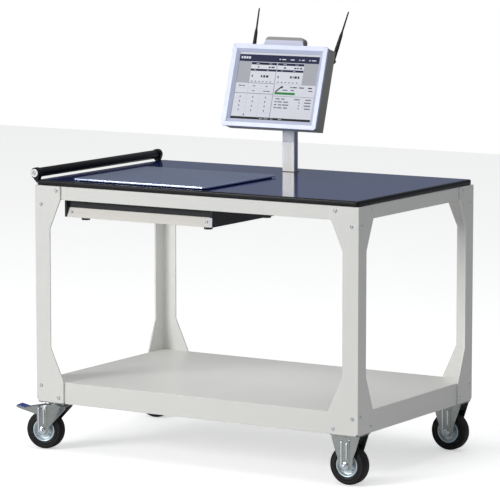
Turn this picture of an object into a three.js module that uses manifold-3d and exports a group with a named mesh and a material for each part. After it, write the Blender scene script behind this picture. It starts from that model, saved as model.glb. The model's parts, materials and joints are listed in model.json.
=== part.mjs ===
// A mobile steel workbench with a shallow drawer under the worktop, a push handle on its left side,
// two swivel castors with brake pedals, two fixed castors and a tilting terminal on a post.
// Millimetres, +Z up. The front of the bench faces -Y and its left side faces -X.

import * as THREE from 'three';
import { mergeVertices } from 'three/addons/utils/BufferGeometryUtils.js';
import Module from 'manifold-3d';

const wasm = await Module();
wasm.setup();

// ---------------------------------------------------------------- driving dimensions

const gap = 0.3;                 // clearance between touching pieces
const facets = { hexagon: 6, pin: 12, rod: 16, disc: 20, ring: 24, tube: 28, tyre: 32 };
const outlineArcSegments = 6;
const weld = 1;                  // how far two joined solids run into each other
const through = 1;               // how far a cutting tool runs past the piece that it cuts

const benchWidth = 1200;
const benchDepth = 750;
const castorHeight = 162;
const legLength = 705;

const legSheet = 5;
const legTopWidth = { front: 97, side: 92 };
const legNarrowWidth = { front: 56, side: 50 };
const legFootWidth = { front: 105, side: 94 };
const legFootHeight = 71;        // straight part at the bottom of a leg
const legLowerGusset = 178;      // height over the leg's bottom where the lower gusset ends
const legUpperGusset = 138;      // depth under the leg's top where the upper gusset ends
const legCornerChamfer = 7;
const footPlate = { length: 98, width: 90, thickness: 4 };

const railHeight = 43.5;
const railDepth = 30;
const railWall = 2.5;
const crossRailX = [-440, 4];

const shelfSheet = 2.5;
const shelfTopHeight = 230;
const shelfRimDrop = 3;          // how far the rim hangs below the legs
const shelfNotchClearance = 1;

const worktopThickness = 17;
const worktopInset = 4;          // worktop edge behind the outer faces of the legs
const edgeBandWidth = 10;
const edgeRounding = 4;
const worktopCornerRadius = 10;

const loadPlate = { x: [-476, 31], y: [-346, 94], thickness: 5, cornerRadius: 14 };
const loadPlateBase = { inset: 12, thickness: 3 };

const handleRadius = 15;
const handleWall = 2;
const handleLength = 730;
const handleOffset = 7.5;        // tube axis outside the left face of the legs
const handleHeight = 904.5;
const handleBracket = { radius: 17.5, width: 18, rise: 1, fromTubeEnd: 1 };
const handleCap = { radius: 13.2, thickness: 2.5 };

const drawerBox = { x: [-498, 63], y: [-355, 105], z: [768.5, 823] };
const housingWall = { cheek: 8, sheet: 2 };
const fasciaSetback = 12;
const drawerFrontHeight = 30.5;
const trayWall = 1.5;
const trayHeight = 24;
const slideWidth = 8.4;
const slideHeight = 12;
const ledge = { height: 2.2, rise: 4, setback: 10 };
const floorSetback = 4;
const tray = { rise: 1.5, rearGap: 8, behindFront: 16 };
const slideSetback = 24;
const rubberFoot = { radius: 14, height: 10.5, x: [-443, 23], y: [-315, 40] };

const postX = -28;
const postY = 271.5;
const postWidth = 46;
const postDepth = 25;
const postWall = 2.5;
const postCornerRadius = 3;
const postSplitHeight = 984;
const postTopHeight = 1167;

const tiltHinge = { y: 240.1, z: 1150.5 };
const tiltPinRadius = 4;
const pinOverhang = 2;
const knuckleRadius = 9;
const knuckleHalfWidth = 13;
const earThickness = 6;
const terminalTilt = THREE.MathUtils.degToRad(17.4);

const terminalWidth = 360;
const terminalHeight = 277;
const terminalBack = -14;        // rear face of the housing, measured from the tilt hinge
const terminalHousingDepth = 54;
const terminalHousingInset = 3;
const terminalWall = 2.5;
const backBevel = 4;
const bezelThickness = 8;
const screenAperture = { width: 304, height: 224 };
const bezelSlope = 12;
const bezelLip = 1;
const bezelCornerRadius = 8;
const screenPanel = { width: 316, height: 236, thickness: 8 };
const electronicsBlock = { width: 240, height: 170, thickness: 26, behindScreen: 4 };
const mountPlate = { size: 100, thickness: 4 };
const hood = { width: 152, height: 33, depth: 26, cornerRadius: 15, x: 4, setback: 5, taper: 2 };
const cableInlet = { x: 90, z: -110, radius: 9, height: 12 };

const antennaPivot = { left: { x: -146.5, lean: -1.5 }, right: { x: 161, lean: 10 }, z: 109 };
const antennaKnuckle = { radius: 8, reach: 6.5 };
const antennaWhipLength = 170;
const antennaProfile = [         // [radius, share of the length]
  [0, 0],
  [6.4, 0],
  [6.4, 0.28],
  [5.2, 0.52],
  [3.1, 0.6],
  [2.4, 0.98],
  [1.4, 1],
  [0, 1],
];

const wheelRadius = 62.5;
const wheelWidth = 40;
const tyreInnerRadius = 37.8;
const castorInsetX = 53;         // castor centre from the outer face of the legs
const castorInsetY = 45;
const castorPlate = { length: 105, width: 85, thickness: 3.5 };
const plateCorner = { radius: 8, segments: 3 };
const forkSheet = 3;
const forkInnerHalf = 26.5;
const forkRib = { x: 14, width: 4, height: 1.6, bottom: 77 };
const axleRadius = 6;
const axleSleeveRadius = 8;
const axleHead = { radius: 10, height: 6.5 };
const tyreSide = [               // radius, distance in from the tyre's side
  [tyreInnerRadius, 0],
  [55, 0],
  [59.5, 1.5],
  [61.8, 5],
  [wheelRadius, 11],
];
const rimSide = [                // radius, distance in from the tyre's side
  [axleSleeveRadius + gap, -1.5],
  [13, -1.5],
  [15, 6],
  [28, 9],
  [33, 1.5],
  [tyreInnerRadius - gap, 1],
];
const swivelTrail = 44;          // wheel axle behind the swivel axis
const swivelRestAngle = THREE.MathUtils.degToRad(11);
const crownBottom = 143.5;
const crownTop = 147;
const crownX = [-35, 38];
const race = { plateRadius: 25, crownRadius: 31, height: 3 };
const kingPinRadius = 6;
const kingNut = { radius: 10, height: 6 };
const pedal = { halfWidth: 23.5, sheet: 2.2, pivotX: -40, pivotZ: 138, barRadius: 5 };
const pedalOutline = [           // along the castor from its swivel axis, height
  [-36, 129],
  [-36, 142.5],
  [-62, 142.5],
  [-110, 133],
  [-138, 140],
  [-141, 137],
  [-136, 133],
  [-114, 126],
  [-98, 122],
  [-72, 115],
  [-50, 115],
];
const pedalHollow = [
  [-30, 100],
  [-30, 128.5],
  [-47, 128.5],
  [-47, 139.5],
  [-61.5, 139.5],
  [-108, 130.2],
  [-108, 100],
];

// ---------------------------------------------------------------- derived dimensions

const halfWidth = benchWidth / 2;
const halfDepth = benchDepth / 2;
const legBottom = castorHeight;
const legTop = legBottom + legLength;
const railBottom = legTop - railHeight;
const frameHalfWidth = halfWidth - legSheet - gap;
const frameHalfDepth = halfDepth - legSheet - gap;
const worktopBottom = legTop + gap;
const worktopTop = worktopBottom + worktopThickness;
const worktopHalfWidth = halfWidth - worktopInset;
const worktopHalfDepth = halfDepth - worktopInset;
const castorPlateBottom = legBottom - gap - castorPlate.thickness;
const raceTop = castorPlateBottom - race.height - gap;
const fixedForkHalf = [          // distance from the axle's line, height
  [52, castorPlateBottom + weld],
  [37, 112],
  [28, 88],
  [25, 64],
  [14, 50],
];
const swivelForkOutline = [      // along the castor from its swivel axis, height
  [-swivelTrail - 11, 50],
  [-swivelTrail - 20, 60],
  [-swivelTrail - 20, 118],
  [-swivelTrail - 10, 140],
  [crownX[0] - 1, crownTop],
  [crownX[1], crownTop],
  [crownX[1], crownBottom - 5],
  [-swivelTrail + 24, 76],
  [-swivelTrail + 20, 60],
  [-swivelTrail + 11, 50],
];
const castorX = halfWidth - castorInsetX;
const castorY = halfDepth - castorInsetY;

// ---------------------------------------------------------------- materials

function finish(color, roughness, metalness) {
  return new THREE.MeshStandardMaterial({ color, roughness, metalness });
}

const finishes = {
  greyPaint: () => finish(0xd6d6d0, 0.45, 0.1),
  navyLaminate: () => finish(0x343e69, 0.15, 0.0),
  blackEdge: () => finish(0x101014, 0.4, 0.0),
  steelPlate: () => finish(0x8f9bb8, 0.2, 1.0),
  darkSheet: () => finish(0x32363a, 0.5, 0.3),
  paleSteel: () => finish(0xd4cfc6, 0.4, 0.4),
  zinc: () => finish(0xaab4bb, 0.3, 1.0),
  blackRubber: () => finish(0x19191b, 0.7, 0.0),
  blackTube: () => finish(0x15151c, 0.3, 0.1),
  capGrey: () => finish(0xdad8d4, 0.5, 0.0),
  postAluminium: () => finish(0xc9cac6, 0.35, 0.9),
  terminalSilver: () => finish(0xcdd5e8, 0.35, 0.2),
  terminalDark: () => finish(0x555550, 0.5, 0.2),
  screenGlass: () => finish(0xe8e9f0, 0.1, 0.0),
  circuitGreen: () => finish(0x2f5a3c, 0.6, 0.1),
};

// ---------------------------------------------------------------- geometry helpers

function toSolid(geometry) {
  const bare = geometry.clone();
  bare.deleteAttribute('normal');
  bare.deleteAttribute('uv');
  const merged = mergeVertices(bare, 1e-4);
  const vertProperties = new Float32Array(merged.attributes.position.array);
  const triVerts = new Uint32Array(merged.index.array);
  return new wasm.Manifold(new wasm.Mesh({ numProp: 3, vertProperties, triVerts }));
}

function toGeometry(solid) {
  const mesh = solid.getMesh();
  const geometry = new THREE.BufferGeometry();
  geometry.setAttribute('position', new THREE.BufferAttribute(mesh.vertProperties, 3));
  geometry.setIndex(new THREE.BufferAttribute(mesh.triVerts, 1));
  geometry.computeVertexNormals();
  return geometry;
}

function join(...pieces) {
  return toGeometry(pieces.map(toSolid).reduce((whole, piece) => whole.add(piece)));
}

function cut(body, ...tools) {
  return toGeometry(tools.map(toSolid).reduce((left, tool) => left.subtract(tool), toSolid(body)));
}

function box([x0, x1], [y0, y1], [z0, z1]) {
  const geometry = new THREE.BoxGeometry(x1 - x0, y1 - y0, z1 - z0);
  return geometry.translate((x0 + x1) / 2, (y0 + y1) / 2, (z0 + z1) / 2);
}

function shapeOf(points) {
  return new THREE.Shape(points.map(([u, v]) => new THREE.Vector2(u, v)));
}

// Extrudes an outline given as [x, z] from y0 to y1.
function extrudeAlongY(outline, y0, y1) {
  const shape = outline instanceof THREE.Shape ? outline : shapeOf(outline);
  const settings = { depth: y1 - y0, bevelEnabled: false, curveSegments: outlineArcSegments };
  const geometry = new THREE.ExtrudeGeometry(shape, settings);
  return geometry.rotateX(Math.PI / 2).translate(0, y1, 0);
}

// Extrudes an outline given as [y, z] from x0 to x1.
function extrudeAlongX(outline, x0, x1) {
  const shape = outline instanceof THREE.Shape ? outline : shapeOf(outline);
  const settings = { depth: x1 - x0, bevelEnabled: false, curveSegments: outlineArcSegments };
  const geometry = new THREE.ExtrudeGeometry(shape, settings);
  const turn = new THREE.Matrix4().makeBasis(
    new THREE.Vector3(0, 1, 0), new THREE.Vector3(0, 0, 1), new THREE.Vector3(1, 0, 0));
  return geometry.applyMatrix4(turn).translate(x0, 0, 0);
}

function roundedRectangle([x0, x1], [y0, y1], radius) {
  const shape = new THREE.Shape();
  shape.absarc(x1 - radius, y0 + radius, radius, -Math.PI / 2, 0, false);
  shape.absarc(x1 - radius, y1 - radius, radius, 0, Math.PI / 2, false);
  shape.absarc(x0 + radius, y1 - radius, radius, Math.PI / 2, Math.PI, false);
  shape.absarc(x0 + radius, y0 + radius, radius, Math.PI, Math.PI * 1.5, false);
  return shape;
}

function roundedSlab(xRange, yRange, [z0, z1], radius, curveSegments = 5) {
  const shape = roundedRectangle(xRange, yRange, radius);
  const geometry = new THREE.ExtrudeGeometry(shape, { depth: z1 - z0, bevelEnabled: false, curveSegments });
  return geometry.translate(0, 0, z0);
}

function cylinderAlongX(radius, [x0, x1], y, z, sides = facets.rod) {
  const geometry = new THREE.CylinderGeometry(radius, radius, x1 - x0, sides);
  return geometry.rotateZ(Math.PI / 2).translate((x0 + x1) / 2, y, z);
}

function cylinderAlongY(radius, [y0, y1], x, z, sides = facets.rod) {
  const geometry = new THREE.CylinderGeometry(radius, radius, y1 - y0, sides);
  return geometry.translate(x, (y0 + y1) / 2, z);
}

function cylinderAlongZ(radius, [z0, z1], x, y, sides = facets.disc) {
  const geometry = new THREE.CylinderGeometry(radius, radius, z1 - z0, sides);
  return geometry.rotateX(Math.PI / 2).translate(x, y, (z0 + z1) / 2);
}

// Turns a profile given as [radius, height along Y] about the Y axis.
function lathe(profile, sides, closed) {
  const points = profile.map(([radius, along]) => new THREE.Vector2(radius, along));
  if (closed) points.push(points[0].clone());
  return new THREE.LatheGeometry(points, sides);
}

const bench = new THREE.Group();

function add(parent, name, geometry, material, place = [0, 0, 0]) {
  const mesh = new THREE.Mesh(geometry, material);
  mesh.name = name;
  mesh.position.set(...place);
  parent.add(mesh);
  return mesh;
}

// ---------------------------------------------------------------- legs, rails and shelf

// One face of a leg: u runs inwards from the leg's outer corner, z runs up.
function legOutline(face) {
  return [
    [legCornerChamfer, legBottom],
    [legFootWidth[face], legBottom],
    [legFootWidth[face], legBottom + legFootHeight],
    [legNarrowWidth[face], legBottom + legLowerGusset],
    [legNarrowWidth[face], legTop - legUpperGusset],
    [legTopWidth[face], railBottom],
    [legTopWidth[face], legTop],
    [0, legTop],
    [0, legBottom + legCornerChamfer],
  ];
}

function span(a, b) {
  return [Math.min(a, b), Math.max(a, b)];
}

function leg(sideX, sideY) {
  const cornerX = sideX * halfWidth;
  const cornerY = sideY * halfDepth;
  const frontFace = legOutline('front').map(([u, z]) => [cornerX - sideX * u, z]);
  const sideFace = legOutline('side').map(([u, z]) => [cornerY - sideY * u, z]);
  const frontPlate = extrudeAlongY(frontFace, ...span(cornerY, cornerY - sideY * legSheet));
  const sidePlate = extrudeAlongX(sideFace, ...span(cornerX, cornerX - sideX * legSheet));
  const foot = box(
    span(cornerX - sideX * legSheet / 2, cornerX - sideX * footPlate.length),
    span(cornerY - sideY * legSheet / 2, cornerY - sideY * footPlate.width),
    [legBottom, legBottom + footPlate.thickness]);
  const footRelief = box(
    span(cornerX, cornerX - sideX * legCornerChamfer),
    span(cornerY, cornerY - sideY * legCornerChamfer),
    [legBottom - through, legBottom + legCornerChamfer / 2]);
  return cut(join(frontPlate, sidePlate, foot), footRelief);
}

function rectangularTube(xRange, yRange, zRange, openAlong) {
  const ranges = [xRange, yRange, zRange];
  const inner = ranges.map(([low, high], axis) =>
    (axis === openAlong ? [low - through, high + through] : [low + railWall, high - railWall]));
  return cut(box(...ranges), box(...inner));
}

function buildFrame() {
  for (const [endName, sideY] of [['front', -1], ['rear', 1]]) {
    for (const [sideName, sideX] of [['left', -1], ['right', 1]]) {
      add(bench, `leg_${endName}_${sideName}`, leg(sideX, sideY), finishes.greyPaint());
    }
    const railY = span(sideY * frameHalfDepth, sideY * (frameHalfDepth - railDepth));
    const rail = rectangularTube([-frameHalfWidth, frameHalfWidth], railY, [railBottom, legTop], 0);
    add(bench, `rail_${endName}`, rail, finishes.greyPaint());
  }
  const innerY = frameHalfDepth - railDepth - gap;
  for (const [sideName, sideX] of [['left', -1], ['right', 1]]) {
    const railX = span(sideX * frameHalfWidth, sideX * (frameHalfWidth - railDepth));
    const rail = rectangularTube(railX, [-innerY, innerY], [railBottom, legTop], 1);
    add(bench, `rail_${sideName}`, rail, finishes.greyPaint());
  }
  for (const [index, x] of crossRailX.entries()) {
    const railX = [x - railDepth / 2, x + railDepth / 2];
    const rail = rectangularTube(railX, [-innerY, innerY], [railBottom, legTop], 1);
    add(bench, `cross_rail_${index + 1}`, rail, finishes.greyPaint());
  }
}

// The shelf's rim is notched at its corners to clear the foot plates and the castors.
function shelfNotches(bottom) {
  const reachX = halfWidth - legFootWidth.front - shelfNotchClearance;
  const reachY = halfDepth - legFootWidth.side - shelfNotchClearance;
  const notchZ = [bottom - through, legBottom + footPlate.thickness + gap];
  const notches = [];
  for (const sideX of [-1, 1]) {
    for (const sideY of [-1, 1]) {
      const notchX = span(sideX * reachX, sideX * halfWidth);
      const notchY = span(sideY * reachY, sideY * halfDepth);
      notches.push(box(notchX, notchY, notchZ));
    }
  }
  return notches;
}

function buildShelf() {
  const bottom = legBottom - shelfRimDrop;
  const outer = box(
    [-frameHalfWidth, frameHalfWidth], [-frameHalfDepth, frameHalfDepth], [bottom, shelfTopHeight]);
  const insideX = frameHalfWidth - shelfSheet;
  const insideY = frameHalfDepth - shelfSheet;
  const hollowZ = [bottom - through, shelfTopHeight - shelfSheet];
  const hollow = box([-insideX, insideX], [-insideY, insideY], hollowZ);
  add(bench, 'shelf', cut(outer, hollow, ...shelfNotches(bottom)), finishes.greyPaint());
}

// ---------------------------------------------------------------- worktop and load plate

function buildWorktop() {
  const coreX = worktopHalfWidth - edgeBandWidth;
  const coreY = worktopHalfDepth - edgeBandWidth;
  const core = box([-coreX + gap, coreX - gap], [-coreY + gap, coreY - gap], [worktopBottom, worktopTop]);
  add(bench, 'worktop', core, finishes.navyLaminate());

  const bandX = worktopHalfWidth - edgeRounding;
  const bandY = worktopHalfDepth - edgeRounding;
  const outline = roundedRectangle([-bandX, bandX], [-bandY, bandY], worktopCornerRadius - edgeRounding);
  const band = new THREE.ExtrudeGeometry(outline, {
    depth: worktopThickness - 2 * edgeRounding,
    bevelThickness: edgeRounding,
    bevelSize: edgeRounding,
    bevelSegments: 3,
    curveSegments: 3,
  });
  band.translate(0, 0, worktopBottom + edgeRounding);
  const inside = box([-coreX, coreX], [-coreY, coreY], [worktopBottom - through, worktopTop + through]);
  add(bench, 'worktop_edge', cut(band, inside), finishes.blackEdge());
}

function buildLoadPlate() {
  const baseBottom = worktopTop + gap;
  const baseTop = baseBottom + loadPlateBase.thickness;
  const shrink = ([low, high]) => [low + loadPlateBase.inset, high - loadPlateBase.inset];
  const base = roundedSlab(
    shrink(loadPlate.x), shrink(loadPlate.y), [baseBottom, baseTop], loadPlate.cornerRadius / 2);
  add(bench, 'load_plate_base', base, finishes.blackRubber());
  const plateBottom = baseTop + gap;
  const plateTop = plateBottom + loadPlate.thickness;
  const plate = roundedSlab(loadPlate.x, loadPlate.y, [plateBottom, plateTop], loadPlate.cornerRadius);
  add(bench, 'load_plate', plate, finishes.steelPlate());
}

// ---------------------------------------------------------------- push handle

// A plate that is round about the tube and runs in straight tangents to the worktop's edge.
function bracketOutline(centreX, centreZ) {
  const edgeX = -worktopHalfWidth - gap;
  const tangentAngle = (z, turn) => {
    const dx = edgeX - centreX;
    const dz = z - centreZ;
    return Math.atan2(dz, dx) + turn * Math.acos(handleBracket.radius / Math.hypot(dx, dz));
  };
  const low = worktopBottom + handleBracket.rise;
  const high = worktopTop + handleBracket.rise;
  const shape = new THREE.Shape();
  const start = tangentAngle(high, 1);
  const end = tangentAngle(low, -1) + 2 * Math.PI;
  shape.absarc(centreX, centreZ, handleBracket.radius, start, end, false);
  shape.lineTo(edgeX, low);
  shape.lineTo(edgeX, high);
  return shape;
}

function buildHandle() {
  const x = -halfWidth - handleOffset;
  const end = handleLength / 2;
  const ring = [
    [handleRadius - handleWall, -end],
    [handleRadius, -end],
    [handleRadius, end],
    [handleRadius - handleWall, end],
  ];
  add(bench, 'handle_tube', lathe(ring, facets.tube, true), finishes.blackTube(), [x, 0, handleHeight]);
  for (const [endName, sideY] of [['front', -1], ['rear', 1]]) {
    const outerY = end - handleBracket.fromTubeEnd;
    const bracketY = span(sideY * outerY, sideY * (outerY - handleBracket.width));
    const plate = extrudeAlongY(bracketOutline(x, handleHeight), ...bracketY);
    const boreY = [bracketY[0] - through, bracketY[1] + through];
    const bore = cylinderAlongY(handleRadius + gap, boreY, x, handleHeight, facets.tube);
    add(bench, `handle_bracket_${endName}`, cut(plate, bore), finishes.blackEdge());
    const capY = span(sideY * (end + gap), sideY * (end + gap + handleCap.thickness));
    const cap = cylinderAlongY(handleCap.radius, capY, x, handleHeight, facets.ring);
    add(bench, `handle_cap_${endName}`, cap, finishes.capGrey());
  }
}

// ---------------------------------------------------------------- drawer

function buildDrawer() {
  const [x0, x1] = drawerBox.x;
  const [y0, y1] = drawerBox.y;
  const [z0, z1] = drawerBox.z;
  const insideX = [x0 + housingWall.cheek, x1 - housingWall.cheek];
  const insideZ = [z0 + housingWall.sheet, z1 - housingWall.sheet];
  const frontTop = z0 + drawerFrontHeight;
  const fasciaFront = y0 + fasciaSetback;

  const shell = cut(
    box(drawerBox.x, drawerBox.y, drawerBox.z),
    box(insideX, [y0 - through, y1 - housingWall.sheet], insideZ),
    box(insideX, [y0 - through, fasciaFront + floorSetback], [z0 - through, insideZ[1]]));
  const fasciaY = [fasciaFront, fasciaFront + housingWall.sheet];
  const fascia = box([x0 + weld, x1 - weld], fasciaY, [frontTop + 2 * gap, z1 - weld]);
  const floor = z0 + housingWall.sheet;
  const ledgeTop = floor + ledge.rise + ledge.height;
  const slideBottom = ledgeTop + gap;
  const ledgeReach = slideWidth - weld;
  const ledges = [
    [insideX[0] - weld, insideX[0] + ledgeReach],
    [insideX[1] - ledgeReach, insideX[1] + weld],
  ];
  const ledgeSolids = ledges.map((ledgeX) =>
    box(ledgeX, [fasciaFront + ledge.setback, y1 - weld], [ledgeTop - ledge.height, ledgeTop]));
  add(bench, 'drawer_housing', join(shell, fascia, ...ledgeSolids), finishes.darkSheet());

  let footNumber = 0;
  for (const y of rubberFoot.y) {
    for (const x of rubberFoot.x) {
      footNumber += 1;
      const footZ = [z0 - gap - rubberFoot.height, z0 - gap];
      const foot = cylinderAlongZ(rubberFoot.radius, footZ, x, y);
      add(bench, `rubber_foot_${footNumber}`, foot, finishes.blackRubber());
    }
  }

  const trayX = [insideX[0] + slideWidth + 2 * gap, insideX[1] - slideWidth - 2 * gap];
  const trayY = [y0 + tray.behindFront, y1 - housingWall.sheet - tray.rearGap];
  const trayZ = [floor + tray.rise, floor + tray.rise + trayHeight];
  const trayInside = box(
    [trayX[0] + trayWall, trayX[1] - trayWall],
    [trayY[0] + trayWall, trayY[1] - trayWall],
    [trayZ[0] + trayWall, trayZ[1] + through]);
  add(bench, 'drawer_tray', cut(box(trayX, trayY, trayZ), trayInside), finishes.darkSheet());

  const frontSection = [
    [y0, z0],
    [trayY[0] - gap, z0],
    [trayY[0] - gap, frontTop],
    [fasciaFront, frontTop],
  ];
  const front = extrudeAlongX(frontSection, insideX[0] + 2 * gap, insideX[1] - 2 * gap);
  add(bench, 'drawer_front', front, finishes.paleSteel());

  const slideZ = [slideBottom, slideBottom + slideHeight];
  for (const [sideName, slideX] of [
    ['left', [insideX[0] + gap, trayX[0] - gap]],
    ['right', [trayX[1] + gap, insideX[1] - gap]],
  ]) {
    const slide = box(slideX, [y0 + slideSetback, trayY[1]], slideZ);
    add(bench, `drawer_slide_${sideName}`, slide, finishes.zinc());
  }
}

// ---------------------------------------------------------------- post and terminal

function postSection(zRange, wall) {
  const x = [postX - postWidth / 2, postX + postWidth / 2];
  const y = [postY - postDepth / 2, postY + postDepth / 2];
  const outer = roundedSlab(x, y, zRange, postCornerRadius, plateCorner.segments);
  const inner = box(
    [x[0] + wall, x[1] - wall], [y[0] + wall, y[1] - wall], [zRange[0] - through, zRange[1] - wall]);
  return cut(outer, inner);
}

function buildPost() {
  const lower = postSection([worktopTop + gap, postSplitHeight - gap], postWall);
  add(bench, 'post', lower, finishes.postAluminium());

  const upper = postSection([postSplitHeight, postTopHeight], postWall);
  const { y: hingeY, z: hingeZ } = tiltHinge;
  const earReach = [hingeY, postY - postDepth / 2 + weld];
  const ears = [];
  const bores = [];
  for (const side of [-1, 1]) {
    const inner = postX + side * (knuckleHalfWidth + gap);
    const earX = span(inner, inner + side * earThickness);
    const boreX = [earX[0] - through, earX[1] + through];
    ears.push(box(earX, earReach, [hingeZ - knuckleRadius, hingeZ + knuckleRadius]));
    ears.push(cylinderAlongX(knuckleRadius, earX, hingeY, hingeZ, facets.disc));
    bores.push(cylinderAlongX(tiltPinRadius + gap, boreX, hingeY, hingeZ, facets.pin));
  }
  add(bench, 'post_head', cut(join(upper, ...ears), ...bores), finishes.postAluminium());

  const pinReach = knuckleHalfWidth + earThickness + pinOverhang;
  const pinX = [postX - pinReach, postX + pinReach];
  const pin = cylinderAlongX(tiltPinRadius, pinX, hingeY, hingeZ, facets.pin);
  add(bench, 'tilt_pin', pin, finishes.zinc());
}

// A four-sided frustum along Y: the sloped opening of the bezel.
function slopedOpening(width, height, spread, y0, y1) {
  const diagonal = Math.SQRT1_2;
  const geometry = new THREE.CylinderGeometry(diagonal, diagonal, 1, 4);
  geometry.rotateY(Math.PI / 4);
  const position = geometry.attributes.position;
  for (let i = 0; i < position.count; i += 1) {
    const atFront = position.getY(i) < 0;
    const extra = atFront ? spread : 0;
    position.setX(i, position.getX(i) * (width + 2 * extra));
    position.setZ(i, position.getZ(i) * (height + 2 * extra));
    position.setY(i, atFront ? y0 : y1);
  }
  return geometry;
}

// The whip is turned about its own length, then joined to the knuckle that it folds on.
function antennaWhip() {
  const profile = antennaProfile.map(([radius, share]) => [radius, share * antennaWhipLength]);
  const whip = lathe(profile, facets.pin, false).rotateX(Math.PI / 2);
  const { radius, reach } = antennaKnuckle;
  const knuckle = cylinderAlongY(radius, [-reach, reach], 0, 0);
  return join(whip, knuckle);
}

// Everything here is measured from the tilt hinge, with z up the face and y into the terminal.
function buildTerminal() {
  const terminal = new THREE.Group();
  terminal.position.set(postX, tiltHinge.y, tiltHinge.z);
  terminal.rotation.x = -terminalTilt;
  bench.add(terminal);

  const halfW = terminalWidth / 2;
  const halfH = terminalHeight / 2;
  const housingY = [terminalBack - terminalHousingDepth, terminalBack];
  const shellX = halfW - terminalHousingInset;
  const shellZ = halfH - terminalHousingInset;
  const cavityX = shellX - terminalWall - backBevel / 2;
  const cavityZ = shellZ - terminalWall - backBevel / 2;
  const block = new THREE.ExtrudeGeometry(
    shapeOf([[-shellX, -shellZ], [shellX, -shellZ], [shellX, shellZ], [-shellX, shellZ]]), {
      depth: terminalHousingDepth,
      bevelThickness: backBevel,
      bevelSize: backBevel,
      bevelOffset: -backBevel,
      bevelSegments: 1,
    });
  block.rotateX(Math.PI / 2).translate(0, terminalBack - backBevel, 0);
  const shell = cut(
    block,
    box([-halfW, halfW], [housingY[0] - 2 * backBevel, housingY[0]], [-halfH, halfH]),
    box([-cavityX, cavityX], [housingY[0] - through, terminalBack - terminalWall], [-cavityZ, cavityZ]));
  const inletY = [terminalBack - weld, terminalBack + cableInlet.height];
  const inlet = cylinderAlongY(cableInlet.radius, inletY, cableInlet.x, cableInlet.z);
  const seatY = [terminalBack - weld, -antennaKnuckle.reach - gap];
  const antennaSeats = ['left', 'right'].map((side) =>
    cylinderAlongY(antennaKnuckle.radius, seatY, antennaPivot[side].x, antennaPivot.z));
  add(terminal, 'terminal_housing', join(shell, inlet, ...antennaSeats), finishes.terminalDark());

  const bezelY = [housingY[0] - gap - bezelThickness, housingY[0] - gap];
  const outline = roundedRectangle([-halfW, halfW], [-halfH, halfH], bezelCornerRadius);
  const frame = extrudeAlongY(outline, ...bezelY);
  const opening = slopedOpening(
    screenAperture.width, screenAperture.height, bezelSlope, bezelY[0] - 1e-3, bezelY[1] - bezelLip);
  const window = box(
    [-screenAperture.width / 2, screenAperture.width / 2], [bezelY[0], bezelY[1] + through],
    [-screenAperture.height / 2, screenAperture.height / 2]);
  add(terminal, 'terminal_bezel', cut(frame, opening, window), finishes.terminalSilver());

  const panel = box(
    [-screenPanel.width / 2, screenPanel.width / 2], [housingY[0], housingY[0] + screenPanel.thickness],
    [-screenPanel.height / 2, screenPanel.height / 2]);
  add(terminal, 'screen', panel, finishes.screenGlass());

  const boardY = housingY[0] + screenPanel.thickness + electronicsBlock.behindScreen;
  const electronics = box(
    [-electronicsBlock.width / 2, electronicsBlock.width / 2],
    [boardY, boardY + electronicsBlock.thickness],
    [-electronicsBlock.height / 2, electronicsBlock.height / 2]);
  add(terminal, 'terminal_electronics', electronics, finishes.circuitGreen());

  const hoodHalf = hood.width / 2;
  const hoodBase = shellZ + gap;
  const arcZ = hoodBase + hood.height - hood.cornerRadius;
  const arcReach = hoodHalf - hood.cornerRadius - hood.taper;
  const hoodShape = new THREE.Shape();
  hoodShape.moveTo(hood.x - hoodHalf, hoodBase);
  hoodShape.lineTo(hood.x + hoodHalf, hoodBase);
  hoodShape.absarc(hood.x + arcReach, arcZ, hood.cornerRadius, 0, Math.PI / 2, false);
  hoodShape.absarc(hood.x - arcReach, arcZ, hood.cornerRadius, Math.PI / 2, Math.PI, false);
  const hoodY = [housingY[0] + hood.setback, housingY[0] + hood.setback + hood.depth];
  add(terminal, 'terminal_handle', extrudeAlongY(hoodShape, ...hoodY), finishes.capGrey());

  const plateY = [terminalBack + gap, terminalBack + gap + mountPlate.thickness];
  const plateReach = [-mountPlate.size / 2, mountPlate.size / 2];
  const plate = box(plateReach, plateY, plateReach);
  const webHalf = knuckleRadius - weld;
  const web = box([-knuckleHalfWidth, knuckleHalfWidth], [plateY[0] + weld, 0], [-webHalf, webHalf]);
  const knuckle = cylinderAlongX(knuckleRadius, [-knuckleHalfWidth, knuckleHalfWidth], 0, 0, facets.disc);
  const boreReach = knuckleHalfWidth + through;
  const bore = cylinderAlongX(tiltPinRadius + gap, [-boreReach, boreReach], 0, 0, facets.pin);
  add(terminal, 'terminal_mount', cut(join(plate, web, knuckle), bore), finishes.darkSheet());

  for (const side of ['left', 'right']) {
    const { x, lean } = antennaPivot[side];
    const pivot = [x, 0, antennaPivot.z];
    const whip = add(terminal, `antenna_${side}`, antennaWhip(), finishes.blackRubber(), pivot);
    whip.rotation.y = THREE.MathUtils.degToRad(lean);
  }
}

// ---------------------------------------------------------------- castors

// A castor's pieces are placed about its own centre, at the floor: x = y = z = 0.
function buildWheel(castor, name, axleX) {
  const half = wheelWidth / 2;
  const bothSides = (side) => [
    ...side.map(([radius, inset]) => [radius, inset - half]),
    ...side.map(([radius, inset]) => [radius, half - inset]).toReversed(),
  ];
  const tyre = lathe(bothSides(tyreSide), facets.tyre, true);
  add(castor, `tyre_${name}`, tyre, finishes.blackRubber(), [axleX, 0, wheelRadius]);
  const rim = lathe(bothSides(rimSide), facets.tube, true);
  add(castor, `rim_${name}`, rim, finishes.zinc(), [axleX, 0, wheelRadius]);
}

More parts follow.
